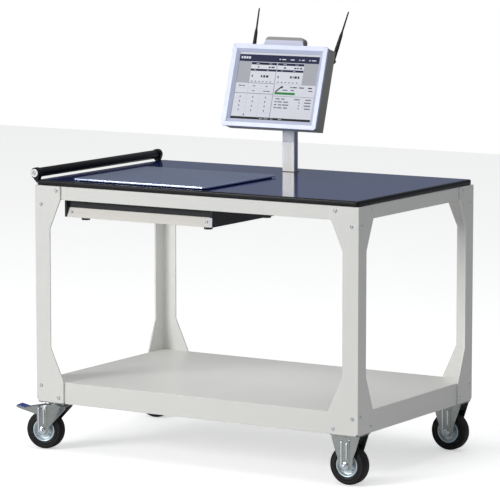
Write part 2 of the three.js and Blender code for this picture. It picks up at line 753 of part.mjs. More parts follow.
function buildAxle(castor, name, axleX) {
  const sheetOuter = forkInnerHalf + forkSheet;
  const headInner = sheetOuter + gap;
  const headOuter = headInner + axleHead.height;
  const sleeveReach = forkInnerHalf - gap;
  const shaftReach = headInner + weld;
  const axle = join(
    cylinderAlongY(axleRadius, [-shaftReach, shaftReach], axleX, wheelRadius, facets.pin),
    cylinderAlongY(axleSleeveRadius, [-sleeveReach, sleeveReach], axleX, wheelRadius),
    cylinderAlongY(axleHead.radius, [headInner, headOuter], axleX, wheelRadius, facets.hexagon),
    cylinderAlongY(axleHead.radius, [-headOuter, -headInner], axleX, wheelRadius, facets.hexagon));
  add(castor, `axle_${name}`, axle, finishes.zinc());
}

function forkSides(outline, axleX) {
  const sheetOuter = forkInnerHalf + forkSheet;
  const pieces = [];
  for (const side of [-1, 1]) {
    const sheetY = span(side * forkInnerHalf, side * sheetOuter);
    const boreY = [sheetY[0] - through, sheetY[1] + through];
    const bore = cylinderAlongY(axleRadius + gap, boreY, axleX, wheelRadius, facets.pin);
    pieces.push(cut(extrudeAlongY(outline, ...sheetY), bore));
    const ribY = span(side * (sheetOuter - weld), side * (sheetOuter + forkRib.height));
    for (const ribSide of [-1, 1]) {
      const ribX = axleX + ribSide * forkRib.x;
      const halfRib = forkRib.width / 2;
      pieces.push(box([ribX - halfRib, ribX + halfRib], ribY, [forkRib.bottom, crownBottom]));
    }
  }
  return pieces;
}

function castorTopPlate() {
  const halfL = castorPlate.length / 2;
  const halfB = castorPlate.width / 2;
  const top = legBottom - gap;
  const plateZ = [top - castorPlate.thickness, top];
  const { radius, segments } = plateCorner;
  return roundedSlab([-halfL, halfL], [-halfB, halfB], plateZ, radius, segments);
}

function buildFixedCastor(name, x, y) {
  const castor = new THREE.Group();
  castor.position.set(x, y, 0);
  bench.add(castor);
  const outline = [
    ...fixedForkHalf,
    ...fixedForkHalf.map(([reach, z]) => [-reach, z]).toReversed(),
  ];
  add(castor, `fork_${name}`, join(castorTopPlate(), ...forkSides(outline, 0)), finishes.zinc());
  buildAxle(castor, name, 0);
  buildWheel(castor, name, 0);
}

// The plate with the fixed half of the ball race, the king pin and the nut under the crown.
function swivelPlate() {
  const pinZ = [crownBottom - kingNut.height, castorPlateBottom + weld];
  const nutZ = [crownBottom - kingNut.height - gap, crownBottom - gap];
  return join(
    castorTopPlate(),
    cylinderAlongZ(race.plateRadius, [raceTop + gap, castorPlateBottom + weld], 0, 0, facets.ring),
    cylinderAlongZ(kingPinRadius, pinZ, 0, 0, facets.pin),
    cylinderAlongZ(kingNut.radius, nutZ, 0, 0, facets.hexagon));
}

// The crown with the turning half of the race, and the two fork sheets that trail to the axle.
function swivelFork() {
  const crownReach = forkInnerHalf + weld;
  const crown = box(crownX, [-crownReach, crownReach], [crownBottom, crownTop]);
  const turningRace = cylinderAlongZ(race.crownRadius, [crownTop - weld, raceTop], 0, 0, facets.ring);
  const boreZ = [crownBottom - through, raceTop + through];
  const pinBore = cylinderAlongZ(kingPinRadius + gap, boreZ, 0, 0, facets.pin);
  return cut(join(crown, turningRace, ...forkSides(swivelForkOutline, -swivelTrail)), pinBore);
}

// The pedal is a channel, open below, on a bar between the fork sheets. Its walls run outside the tyre.
function brakePedal() {
  const inner = pedal.halfWidth - pedal.sheet;
  const lever = extrudeAlongY(pedalOutline, -pedal.halfWidth, pedal.halfWidth);
  const hollow = extrudeAlongY(pedalHollow, -inner, inner);
  const barReach = forkInnerHalf - gap;
  const { barRadius, pivotX, pivotZ } = pedal;
  const bar = cylinderAlongY(barRadius, [-barReach, barReach], pivotX, pivotZ, facets.pin);
  return join(cut(lever, hollow), bar);
}

function buildSwivelCastor(name, x, y) {
  const castor = new THREE.Group();
  castor.position.set(x, y, 0);
  bench.add(castor);
  add(castor, `castor_plate_${name}`, swivelPlate(), finishes.zinc());

  const swivel = new THREE.Group();
  swivel.rotation.z = swivelRestAngle;
  castor.add(swivel);
  add(swivel, `fork_${name}`, swivelFork(), finishes.zinc());
  add(swivel, `brake_pedal_${name}`, brakePedal(), finishes.zinc());
  buildAxle(swivel, name, -swivelTrail);
  buildWheel(swivel, name, -swivelTrail);
}

// ---------------------------------------------------------------- assembly

buildFrame();
buildShelf();
buildWorktop();
buildLoadPlate();
buildHandle();
buildDrawer();
buildPost();
buildTerminal();
for (const [endName, sideY] of [['front', -1], ['rear', 1]]) {
  buildSwivelCastor(`${endName}_left`, -castorX, sideY * castorY);
  buildFixedCastor(`${endName}_right`, castorX, sideY * castorY);
}

// The origin is the bottom centre of the whole bench's box.
bench.updateMatrixWorld(true);
const bounds = new THREE.Box3().setFromObject(bench, true);
bench.position.set(-(bounds.min.x + bounds.max.x) / 2, -(bounds.min.y + bounds.max.y) / 2, -bounds.min.z);

export default bench;
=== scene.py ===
"""The looks of a mobile steel workbench with a drawer, a push handle, castors and a tilting terminal.

Lengths in this file are millimetres unless a name ends in _m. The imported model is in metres.
"""
import json
import math

import bmesh
import bpy
from mathutils import Matrix, Vector


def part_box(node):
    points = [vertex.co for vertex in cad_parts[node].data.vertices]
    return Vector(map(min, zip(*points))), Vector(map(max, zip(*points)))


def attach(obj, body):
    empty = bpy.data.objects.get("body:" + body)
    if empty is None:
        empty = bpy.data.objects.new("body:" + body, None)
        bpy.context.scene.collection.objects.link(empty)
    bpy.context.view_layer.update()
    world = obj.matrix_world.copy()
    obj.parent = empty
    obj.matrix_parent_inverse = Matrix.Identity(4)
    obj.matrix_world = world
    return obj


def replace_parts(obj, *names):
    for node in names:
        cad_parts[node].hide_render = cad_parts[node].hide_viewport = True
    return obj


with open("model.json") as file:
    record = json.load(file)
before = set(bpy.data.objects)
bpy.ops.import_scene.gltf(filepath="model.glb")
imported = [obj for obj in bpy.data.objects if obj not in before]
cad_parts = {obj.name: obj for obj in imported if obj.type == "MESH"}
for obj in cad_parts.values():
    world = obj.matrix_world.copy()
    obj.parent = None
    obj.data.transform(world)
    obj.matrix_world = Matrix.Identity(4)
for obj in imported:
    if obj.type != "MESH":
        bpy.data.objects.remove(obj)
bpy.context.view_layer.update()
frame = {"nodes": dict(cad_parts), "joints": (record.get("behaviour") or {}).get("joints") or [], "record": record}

MM = 0.001
UP = Vector((0, 0, 1))
ACROSS = Vector((1, 0, 0))
ORIGIN = Matrix.Identity(4)        # the seat of pieces that are placed in the frame's own axes
WELD_M = 2e-6                      # points closer than this are one point
COPLANAR = math.radians(0.5)       # faces that meet at less are merged
FLAT = math.radians(1.0)           # edges that bend less don't count as part of a curve
RING_WELD = 1e-5                   # the same for a turned ring, in its own units
PARALLEL = 1e-6                    # a cross product shorter than this has no direction
ENDS = (("front", -1), ("rear", 1))
SIDES = (("left", -1), ("right", 1))


# ---------------------------------------------------------------- sizes

# Turned profiles are (radius, height) points.
BOLT_RADIUS = 4.4
LEG_BOLTS = {                      # distance in from the corner, height over the bottom or under the top
    "front": {"bottom": ((19, 52), (87, 16)), "top": ((82, 14), (24, 60))},
    "side": {"bottom": ((17, 55), (80, 18)), "top": ((73, 14), (20, 60))},
}
FOOT_TOP = 4                       # over the leg's lower end
FOOT_NUT_X, FOOT_NUT_Y = 34, 28    # from the middle of the foot
CAP_RING = ((8.6, -0.2), (13.2, -0.2), (13.2, 0.8), (12.4, 1.5), (9.4, 1.5), (8.6, 0.9))

DRAWER_FRONT_LEAN = 12             # how far its top stands behind its bottom
DRAWER_SCREW_INSET = 16
TRAY_SHEET = 1.5
MAT_GAP = 2                        # between the mat and the tray's walls
MAT_THICKNESS = 1.2
MAT_RIBS = 34
DIVIDER_FOOT = 1.2                 # thickness, along the divider
SLIDE_RIVETS = 5
SLIDE_RIVET_INSET = 20
SLIDE_RIVET = ((3.0, -0.4), (3.0, 0.12), (2.2, 0.2), (0, 0.2))

POST_GROOVES = (0.3, 0.5, 0.7)     # shares of the post's width
POST_GROOVE_WIDTH = 1.0
POST_GROOVE_DEPTH = 0.7

BEZEL_OPENING = (304, 224)
BEZEL_SLOPE = 12
PATCH_THICKNESS = 0.1
LAYER_STEP = 0.06                  # each layer of the display stands this much over the one below
MARK_LAYER = 4                     # over all the others
VENTS = 9
VENT_PITCH = 7
TOP_VENT_Z = 88
VENT_X, VENT_HALF_LENGTH = 112, 34
REAR_SCREW_INSET = 14
MOUNT_SCREW = 37.5                 # half the side of the square that the mount's screws form
PORT_WIDTHS = (34, 15, 15, 22)
PORT_PITCH = 34
FIRST_PORT_X = -120
ANTENNA_RINGS = (14, 20, 26, 44, 47)
ANTENNA_RING = ((5.8, -1.1), (6.8, -0.9), (6.9, 0), (6.8, 0.9), (5.8, 1.1))

WHEEL_RADIUS = 62.5
RIM_RADIUS = 37.8
RIM_WEB = 12.0                     # the web's outer face, from the wheel's middle
RIM_BOLT_CIRCLE = 23.5
BEARING_SEAL = ((8.6, 20.8), (11.6, 20.8), (11.6, 21.7), (8.6, 21.7))
AXLE_END = ((5.2, -0.4), (5.2, 2.2), (4.4, 3.0), (0, 3.0))
AXLE_WASHER = ((12.4, -0.1), (12.4, 1.1), (12.0, 1.4), (0, 1.4))
WASHER_DEPTH = 6.3                 # from the end of the axle's head back to the washer
CASTOR_PLATE_BELOW_LEG = 0.3
CASTOR_PLATE_THICKNESS = 3.5
FORK_OUTER = 29.5
FORK_RIBS = ((-13.5, 57, 138), (5, 84, 134))       # from the axle along the fork, bottom, top
FORK_RIB_HALF_WIDTH = 2.8
# Distance from the pedal's tip, and height over the floor. The last point is the tread's crest.
TREAD_OUTLINE = ((-0.6, 137.0), (2.5, 135.4), (31, 132.2), (30, 134.4), (3, 141.2))
TREAD_HALF_WIDTH = 21
TREAD_RIBS = 5
TREAD_RIB_PITCH = 5
TREAD_FALL = 0.25                  # how much the tread's top falls per millimetre

FLOOR_REACH = 9000
FLOOR_DROP_M = 0.0005
CAMERA_FROM_BENCH_M = Vector((5.3385, -8.7158, 1.9941))
CAMERA_YAW = math.radians(31.568)
CAMERA_PITCH = math.radians(7.465)
CAMERA_ROLL = math.radians(-0.005)
CAMERA_LENS = 229.4
HORIZON_LIGHT = (0.125, 0.148, 0.212, 1)
FLOOR_LIFT = 0.5
OVERHEAD_LIGHT = (0.42, 0.42, 0.41, 1)


# ---------------------------------------------------------------- node groups

def linear(red, green, blue):
    """An sRGB colour given as 0 to 255, as the linear colour that a shader takes."""
    def channel(value):
        share = value / 255
        if share <= 0.04045:
            return share / 12.92
        return ((share + 0.055) / 1.055) ** 2.4
    return channel(red), channel(green), channel(blue), 1.0


def group_with(name, inputs, outputs):
    """A new node group with the given inputs and outputs, and the nodes at its two ends."""
    group = bpy.data.node_groups.new(name, "ShaderNodeTree")
    for label, kind, default in inputs:
        socket = group.interface.new_socket(name=label, in_out="INPUT", socket_type=kind)
        socket.default_value = default
    for label, kind in outputs:
        group.interface.new_socket(name=label, in_out="OUTPUT", socket_type=kind)
    start = group.nodes.new("NodeGroupInput")
    end = group.nodes.new("NodeGroupOutput")
    return group, start, end


def noise(nodes, links, vector, scale, detail):
    node = nodes.new("ShaderNodeTexNoise")
    node.inputs["Detail"].default_value = detail
    links.new(vector, node.inputs["Vector"])
    if isinstance(scale, (int, float)):
        node.inputs["Scale"].default_value = scale
    else:
        links.new(scale, node.inputs["Scale"])
    return node.outputs["Fac"]


def arithmetic(nodes, links, operation, first, second):
    node = nodes.new("ShaderNodeMath")
    node.operation = operation
    for socket, value in zip(node.inputs, (first, second)):
        if isinstance(value, (int, float)):
            socket.default_value = value
        else:
            links.new(value, socket)
    return node.outputs["Value"]


def shade_around(nodes, links, colour, share, amount):
    """The colour made lighter and darker about itself: share 0.5 leaves it as it is."""
    centred = arithmetic(nodes, links, "SUBTRACT", share, 0.5)
    swing = arithmetic(nodes, links, "MULTIPLY", centred, amount)
    factor = arithmetic(nodes, links, "ADD", swing, 1.0)
    scaled = nodes.new("ShaderNodeVectorMath")
    scaled.operation = "SCALE"
    links.new(colour, scaled.inputs[0])
    links.new(factor, scaled.inputs["Scale"])
    return scaled.outputs["Vector"]


def coated_surface_group():
    """Paint or moulded plastic: fine grain, a slow mottle in its colour and a little dust in its gloss."""
    group, start, end = group_with(
        "coated surface",
        [("Colour", "NodeSocketColor", (0.5, 0.5, 0.5, 1)),
         ("Roughness", "NodeSocketFloat", 0.4),
         ("Grain Scale", "NodeSocketFloat", 900.0),
         ("Mottle", "NodeSocketFloat", 0.06),
         ("Gloss Change", "NodeSocketFloat", 0.08)],
        [("Colour", "NodeSocketColor"), ("Roughness", "NodeSocketFloat"), ("Height", "NodeSocketFloat")])
    nodes, links = group.nodes, group.links
    place = nodes.new("ShaderNodeTexCoord").outputs["Object"]
    grain = noise(nodes, links, place, start.outputs["Grain Scale"], 3)
    cloud = noise(nodes, links, place, 6.0, 4)
    smudge = noise(nodes, links, place, 35.0, 5)
    links.new(shade_around(nodes, links, start.outputs["Colour"], cloud, start.outputs["Mottle"]),
              end.inputs["Colour"])
    centred = arithmetic(nodes, links, "SUBTRACT", smudge, 0.5)
    change = arithmetic(nodes, links, "MULTIPLY", centred, start.outputs["Gloss Change"])
    links.new(arithmetic(nodes, links, "ADD", start.outputs["Roughness"], change), end.inputs["Roughness"])
    links.new(grain, end.inputs["Height"])
    return group


def brushed_surface_group():
    """Bare metal with fine lines along one direction and cloudy patches of gloss."""
    group, start, end = group_with(
        "brushed surface",
        [("Colour", "NodeSocketColor", (0.5, 0.5, 0.5, 1)),
         ("Roughness", "NodeSocketFloat", 0.25),
         ("Stretch", "NodeSocketVector", (4.0, 400.0, 400.0)),
         ("Line Strength", "NodeSocketFloat", 0.2),
         ("Patch Scale", "NodeSocketFloat", 25.0)],
        [("Colour", "NodeSocketColor"), ("Roughness", "NodeSocketFloat"), ("Height", "NodeSocketFloat")])
    nodes, links = group.nodes, group.links
    place = nodes.new("ShaderNodeTexCoord").outputs["Object"]
    stretched = nodes.new("ShaderNodeVectorMath")
    stretched.operation = "MULTIPLY"
    links.new(place, stretched.inputs[0])
    links.new(start.outputs["Stretch"], stretched.inputs[1])
    lines = noise(nodes, links, stretched.outputs["Vector"], 1.0, 4)
    patches = noise(nodes, links, place, start.outputs["Patch Scale"], 3)
    both = arithmetic(nodes, links, "MULTIPLY", arithmetic(nodes, links, "ADD", lines, patches), 0.5)
    links.new(shade_around(nodes, links, start.outputs["Colour"], both, start.outputs["Line Strength"]),
              end.inputs["Colour"])
    centred = arithmetic(nodes, links, "SUBTRACT", both, 0.5)
    change = arithmetic(nodes, links, "MULTIPLY", centred, start.outputs["Line Strength"])
    links.new(arithmetic(nodes, links, "ADD", start.outputs["Roughness"], change), end.inputs["Roughness"])
    links.new(lines, end.inputs["Height"])
    return group


COATED = coated_surface_group()
BRUSHED = brushed_surface_group()


# ---------------------------------------------------------------- materials

def surface(name, group, values, bump=0.05, bump_distance=0.0002, **shader_values):
    """A material whose colour, roughness and relief come from one of the node groups."""
    material = bpy.data.materials.new(name)
    material.use_nodes = True
    nodes, links = material.node_tree.nodes, material.node_tree.links
    shader = nodes["Principled BSDF"]
    texture = nodes.new("ShaderNodeGroup")
    texture.node_tree = group
    for label, value in values.items():
        texture.inputs[label].default_value = value
    links.new(texture.outputs["Colour"], shader.inputs["Base Color"])
    links.new(texture.outputs["Roughness"], shader.inputs["Roughness"])
    relief = nodes.new("ShaderNodeBump")
    relief.inputs["Strength"].default_value = bump
    relief.inputs["Distance"].default_value = bump_distance
    links.new(texture.outputs["Height"], relief.inputs["Height"])
    links.new(relief.outputs["Normal"], shader.inputs["Normal"])
    for label, value in shader_values.items():
        shader.inputs[label.replace("_", " ")].default_value = value
    return material


def coated(name, colour, roughness, grain=900.0, mottle=0.06, gloss_change=0.08, bump=0.05, **shader_values):
    """A paint, plastic or rubber."""
    values = {"Colour": colour, "Roughness": roughness, "Grain Scale": grain, "Mottle": mottle,
              "Gloss Change": gloss_change}
    return surface(name, COATED, values, bump, **shader_values)


def brushed(name, colour, roughness, stretch, line_strength=0.2, patch_scale=25.0, bump=0.03, metallic=1.0,
            **shader_values):
    """A metal, whose lines run along the axis with the smallest stretch."""
    values = {"Colour": colour, "Roughness": roughness, "Stretch": stretch, "Line Strength": line_strength,
              "Patch Scale": patch_scale}
    return surface(name, BRUSHED, values, bump, Metallic=metallic, **shader_values)


def lit(name, colour, glow):
    """A patch of the lit display, which glows faintly in its own colour."""
    return coated(name, colour, 0.50, grain=2500.0, mottle=0.03, gloss_change=0.02, bump=0.01,
                  Specular_IOR_Level=0.2, Emission_Color=colour, Emission_Strength=glow)


frame_paint = coated("frame paint", linear(216, 216, 211), 0.42, grain=1400.0, mottle=0.05, bump=0.10)
worktop_laminate = coated("worktop laminate", linear(32, 44, 104), 0.13, grain=2600.0, mottle=0.10,
                          gloss_change=0.10, bump=0.03, Coat_Weight=0.5, Coat_Roughness=0.05)
black_edge = coated("black edge", linear(14, 14, 17), 0.36, grain=1800.0, mottle=0.20, bump=0.08,
                    Specular_IOR_Level=0.25)
load_plate_steel = brushed("load plate steel", linear(196, 208, 238), 0.22, (2.0, 700.0, 700.0),
                           line_strength=0.10, patch_scale=9.0, bump=0.02)
black_rubber = coated("black rubber", linear(26, 26, 28), 0.60, grain=1200.0, mottle=0.20, bump=0.20)
handle_sleeve = coated("handle sleeve", linear(12, 12, 20), 0.36, grain=1500.0, mottle=0.25, bump=0.06,
                       Specular_IOR_Level=0.25)
grey_cap = coated("grey cap", linear(196, 194, 190), 0.42, grain=1500.0, mottle=0.06, bump=0.08)
cap_ring_white = coated("cap ring white", linear(238, 238, 240), 0.35, grain=1500.0, mottle=0.04, bump=0.05)
hood_grey = coated("hood grey", linear(134, 132, 129), 0.45, grain=1500.0, mottle=0.08, bump=0.08)
drawer_front_paint = coated("drawer front paint", linear(208, 204, 196), 0.40, grain=1400.0, mottle=0.06,
                            bump=0.10)
# Pale blue-white: a painted highlight on the front edge of the drawer housing's right cheek.
drawer_edge_highlight = coated("drawer edge highlight", linear(196, 205, 224), 0.40, grain=1400.0, mottle=0.06, bump=0.08)
anthracite_sheet = coated("anthracite sheet", linear(28, 31, 35), 0.48, grain=1700.0, mottle=0.12, bump=0.18,
                          Specular_IOR_Level=0.3)
terminal_paint = coated("terminal paint", linear(150, 150, 142), 0.42, grain=1700.0, mottle=0.10, bump=0.15)
bezel_silver = coated("bezel silver", linear(194, 200, 221), 0.34, grain=2000.0, mottle=0.05, bump=0.06,
                      Metallic=0.1)
hood_plate_paint = coated("hood plate paint", linear(190, 192, 212), 0.42, grain=2000.0, mottle=0.05,
                          bump=0.06)
tyre_rubber = coated("tyre rubber", linear(14, 14, 15), 0.52, grain=1300.0, mottle=0.30, bump=0.25,
                     Specular_IOR_Level=0.3)
zinc_plate = brushed("zinc plate", linear(150, 154, 152), 0.30, (60.0, 60.0, 220.0), 0.35, 45.0, 0.06)
rim_zinc = brushed("rim zinc", linear(205, 218, 224), 0.38, (60.0, 60.0, 220.0), 0.30, 45.0, 0.06,
                   metallic=0.6)
bright_steel = brushed("bright steel", linear(205, 210, 216), 0.22, (300.0, 300.0, 40.0), 0.25, 60.0, 0.04)
post_aluminium = brushed("post aluminium", linear(250, 247, 240), 0.42, (500.0, 500.0, 4.0), 0.14, 12.0, 0.04,
                         metallic=0.15)
pedal_blue = brushed("pedal blue", linear(96, 122, 205), 0.30, (60.0, 60.0, 220.0), 0.20, 45.0, 0.05)
# Bluish grey: painted shade on the post's narrow sides, and the colour of the thin seam under its head.
painted_side_shade_and_seam = coated("painted side shade and seam", linear(150, 160, 182), 0.55, grain=1500.0, mottle=0.15, bump=0.10)
socket_black = coated("socket black", linear(30, 31, 34), 0.50, grain=1500.0, mottle=0.20, bump=0.10)
circuit_board = coated("circuit board", linear(34, 92, 52), 0.48, grain=800.0, mottle=0.30, bump=0.20)
drawer_mat = coated("drawer mat", linear(44, 46, 50), 0.75, grain=700.0, mottle=0.20, bump=0.40)

screen_glass = lit("screen glass", linear(198, 200, 208), 0.03)
display_white = lit("display white", linear(212, 213, 219), 0.03)
display_grey = lit("display grey", linear(166, 167, 173), 0.02)
display_line = lit("display line", linear(112, 114, 128), 0.02)
display_navy = lit("display navy", linear(16, 22, 62), 0.01)
display_dark = lit("display dark", linear(40, 42, 54), 0.01)
display_green = lit("display green", linear(30, 128, 52), 0.03)
display_black = lit("display black", linear(12, 12, 16), 0.002)

SLOT_MATERIALS = {
    "frame_paint": frame_paint,
    "worktop_laminate": worktop_laminate,
    "black_edge": black_edge,
    "load_plate_steel": load_plate_steel,
    "black_rubber": black_rubber,
    "handle_sleeve": handle_sleeve,
    "grey_cap": grey_cap,
    "drawer_front_paint": drawer_front_paint,
    "anthracite_sheet": anthracite_sheet,
    "tyre_rubber": tyre_rubber,
    "zinc_plate": zinc_plate,
    "post_aluminium": post_aluminium,
    "terminal_paint": terminal_paint,
    "bezel_silver": bezel_silver,
    "screen_glass": screen_glass,
    "circuit_board": circuit_board,
}
NODE_SLOTS = {part["node"]: part["material_slot"] for part in frame["record"]["subparts"]}
BODY_NODES = frame["record"]["behaviour"]["bodies"]
NODE_BODIES = {node: body for body, members in BODY_NODES.items() for node in members}
JOINTS = {joint["name"]: joint for joint in frame["joints"]}


# ---------------------------------------------------------------- mesh helpers

def piece(name, bm, material, body, seat=None):
    """Makes a piece from bm and rides it on a body.

    With a seat, bm is in millimetres in the seat's own axes. Without one it is in the frame's metres.
    """
    if seat is not None:
        bm.transform(seat @ Matrix.Scale(MM, 4))
    mesh = bpy.data.meshes.new(name)
    bm.to_mesh(mesh)
    bm.free()
    mesh.materials.append(material)
    made = bpy.data.objects.new(name, mesh)
    bpy.context.scene.collection.objects.link(made)
    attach(made, body)
    return made


def add_block(bm, low, high, bevel=0.8, segments=2):
    """A bevelled block between two corners."""
    low, high = Vector(low), Vector(high)
    size = high - low
    centre = Matrix.Translation((low + high) / 2)
    made = bmesh.ops.create_cube(bm, size=1.0, matrix=centre @ Matrix.Diagonal((*size, 1)))
    edges = {edge for vert in made["verts"] for edge in vert.link_edges}
    bmesh.ops.bevel(bm, geom=list(edges), offset=bevel, segments=segments, affect="EDGES", profile=0.5,
                    clamp_overlap=True)


def add_turned(bm, profile, seat=ORIGIN, sides=24):
    """Turns a profile of (radius, along) points about the seat's Z axis. A radius of 0 closes the end."""
    rings = []
    for radius, along in profile:
        if radius == 0:
            rings.append([bm.verts.new(seat @ Vector((0, 0, along)))])
            continue
        angles = (2 * math.pi * step / sides for step in range(sides))
        rings.append([bm.verts.new(seat @ Vector((radius * math.cos(a), radius * math.sin(a), along)))
                      for a in angles])
    for lower, upper in zip(rings, rings[1:]):
        for step in range(sides):
            after = (step + 1) % sides
            corners = [lower[step % len(lower)], lower[after % len(lower)],
                       upper[after % len(upper)], upper[step % len(upper)]]
            corners = list(dict.fromkeys(corners))
            if len(corners) > 2:
                bm.faces.new(corners).smooth = True


def add_closed_ring(bm, profile, seat, sides):
    """Turns a closed profile into a ring."""
    add_turned(bm, [*profile, profile[0]], seat, sides)
    bmesh.ops.remove_doubles(bm, verts=bm.verts, dist=RING_WELD)
    bmesh.ops.recalc_face_normals(bm, faces=bm.faces)


def facing(position, normal, along=UP):
    """A seat at a position whose Z axis is the normal."""
    normal = Vector(normal).normalized()
    across = Vector(along).cross(normal)
    if across.length < PARALLEL:
        across = ACROSS.copy()
    across.normalize()
    upright = normal.cross(across)
    turn = Matrix((across, upright, normal)).transposed().to_4x4()
    return Matrix.Translation(position) @ turn


def add_pan_head(bm, position, normal, radius=BOLT_RADIUS, sides=20):
    """A pan-head screw on a washer, with a round socket, in the piece's own units."""
    profile = [
        (radius * 1.35, 0),
        (radius * 1.35, radius * 0.16),
        (radius * 1.02, radius * 0.18),
        (radius, radius * 0.42),
        (radius * 0.86, radius * 0.64),
        (radius * 0.55, radius * 0.74),
        (radius * 0.42, radius * 0.72),
        (radius * 0.38, radius * 0.34),
        (0, radius * 0.30),
    ]
    add_turned(bm, profile, facing(position, normal), sides)


def add_hex_head(bm, position, normal, radius=6.0, height=4.0):
    """A hexagon head on a round washer."""
    seat = facing(position, normal)
    add_turned(bm, [(radius * 1.3, 0), (radius * 1.3, height * 0.25), (0, height * 0.25)], seat, 24)
    add_turned(bm, [(radius, height * 0.25), (radius, height * 0.9), (radius * 0.85, height), (0, height)],
               seat, 6)


def softened(node, width, material=None, curve_limit=34.0, segments=2):
    """A copy of a CAD node with its sharp edges rounded, which is shown in the node's place."""
    bm = bmesh.new()
    bm.from_mesh(frame["nodes"][node].data)
    bmesh.ops.remove_doubles(bm, verts=bm.verts, dist=WELD_M)
    bmesh.ops.dissolve_limit(bm, angle_limit=COPLANAR, verts=bm.verts, edges=bm.edges)
    limit = math.radians(curve_limit)
    inner = [edge for edge in bm.edges if len(edge.link_faces) == 2]
    angles = {edge: edge.calc_face_angle(0.0) for edge in inner}
    for face in bm.faces:
        face.smooth = any(FLAT < angles.get(edge, 0.0) < limit for edge in face.edges)
    sharp = [edge for edge in inner if angles[edge] >= limit]
    made = bmesh.ops.bevel(bm, geom=sharp, offset=width * MM, segments=segments, affect="EDGES", profile=0.5,
                           clamp_overlap=True)
    for face in made["faces"]:
        face.smooth = True
    finish = material or SLOT_MATERIALS[NODE_SLOTS[node]]
    shown = piece(f"{node}_shown", bm, finish, NODE_BODIES[node])
    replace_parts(shown, node)


def extent(node, seat=ORIGIN):
    """The lowest and highest corner of a node in the seat's own axes, in millimetres."""
    turned = [seat.inverted() @ vert.co for vert in frame["nodes"][node].data.vertices]
    low = Vector(min(point[axis] for point in turned) for axis in range(3))
    high = Vector(max(point[axis] for point in turned) for axis in range(3))
    return low / MM, high / MM


def corner_names():
    """The end and side of each corner, with their signs along Y and X."""
    return [(end, side, end_sign, side_sign) for end, end_sign in ENDS for side, side_sign in SIDES]


worktop_low, worktop_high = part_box("worktop")
bench_middle_m = Vector(((worktop_low.x + worktop_high.x) / 2, (worktop_low.y + worktop_high.y) / 2, 0))
bench_seat = Matrix.Translation(bench_middle_m)


# ---------------------------------------------------------------- steel frame

def leg_screw_seats(end, side, end_sign, side_sign):
    """Positions and outward directions of the eight screws of a leg, in bench millimetres."""
    low, high = extent(f"leg_{end}_{side}", bench_seat)
    corner_x = high.x if side_sign > 0 else low.x
    corner_y = high.y if end_sign > 0 else low.y
    for level, height_from, sign in (("bottom", low.z, 1), ("top", high.z, -1)):
        for inward, rise in LEG_BOLTS["front"][level]:
            place = Vector((corner_x - side_sign * inward, corner_y, height_from + sign * rise))
            yield place, Vector((0, end_sign, 0))
        for inward, rise in LEG_BOLTS["side"][level]:
            place = Vector((corner_x, corner_y - end_sign * inward, height_from + sign * rise))
            yield place, Vector((side_sign, 0, 0))


def build_leg_screws():
    for end, side, end_sign, side_sign in corner_names():
        bm = bmesh.new()
        for place, outward in leg_screw_seats(end, side, end_sign, side_sign):
            add_pan_head(bm, place, outward)
        piece(f"leg_screws_{end}_{side}", bm, bright_steel, "bench", bench_seat)


def build_foot_nuts():
    """The four nuts on each leg's foot, which hold its castor."""
    for end, side, _, _ in corner_names():
        low, high = extent(f"leg_{end}_{side}", bench_seat)
        centre = Vector(((low.x + high.x) / 2, (low.y + high.y) / 2, low.z + FOOT_TOP))
        bm = bmesh.new()
        for x in (-FOOT_NUT_X, FOOT_NUT_X):
            for y in (-FOOT_NUT_Y, FOOT_NUT_Y):
                add_hex_head(bm, centre + Vector((x, y, 0)), UP, radius=6.5, height=5.0)
        piece(f"foot_nuts_{end}_{side}", bm, bright_steel, "bench", bench_seat)


def build_frame():
    for end, side, _, _ in corner_names():
        softened(f"leg_{end}_{side}", 1.8)
    for node in ("rail_front", "rail_rear", "rail_left", "rail_right", "cross_rail_1", "cross_rail_2"):
        softened(node, 1.2)
    softened("shelf", 1.4)
    build_leg_screws()
    build_foot_nuts()


# ---------------------------------------------------------------- worktop and load plate

def build_worktop():
    softened("worktop_edge", 0.5, curve_limit=40)
    softened("load_plate", 0.7)


# ---------------------------------------------------------------- push handle

def build_handle():
    softened("handle_tube", 0.6)
    for end, end_sign in ENDS:
        softened(f"handle_bracket_{end}", 1.0)
        softened(f"handle_cap_{end}", 0.5)
        low, high = extent(f"handle_cap_{end}")
        outer_y = high.y if end_sign > 0 else low.y
        centre = Vector(((low.x + high.x) / 2, outer_y, (low.z + high.z) / 2))
        seat = Matrix.Translation(centre * MM) @ facing((0, 0, 0), (0, end_sign, 0))
        ring = bmesh.new()
        add_closed_ring(ring, CAP_RING, ORIGIN, 48)
        piece(f"handle_cap_ring_{end}", ring, cap_ring_white, "bench", seat)
        screw = bmesh.new()
        add_pan_head(screw, Vector((0, 0, -0.1)), UP, radius=2.6)
        piece(f"handle_cap_screw_{end}", screw, bright_steel, "bench", seat)
        build_bracket_screw(end, end_sign)


def build_bracket_screw(end, end_sign):
    """The screw near the lower right corner of a bracket's outer face."""
    low, high = extent(f"handle_bracket_{end}")
    bm = bmesh.new()
    face_y = high.y if end_sign > 0 else low.y
    add_pan_head(bm, Vector((high.x - 5, face_y, low.z + 6)), (0, end_sign, 0), radius=2.8)
    piece(f"handle_bracket_screw_{end}", bm, bright_steel, "bench", ORIGIN)


# ---------------------------------------------------------------- drawer

def build_drawer():
    softened("drawer_housing", 0.7)
    softened("drawer_front", 0.9)
    softened("drawer_tray", 0.5)
    for number in range(1, 5):
        softened(f"rubber_foot_{number}", 1.4, segments=3)
    build_drawer_front_screws()
    build_drawer_mat()
    build_drawer_dividers()
    build_drawer_cheek_highlight()
    build_slide_rivets()


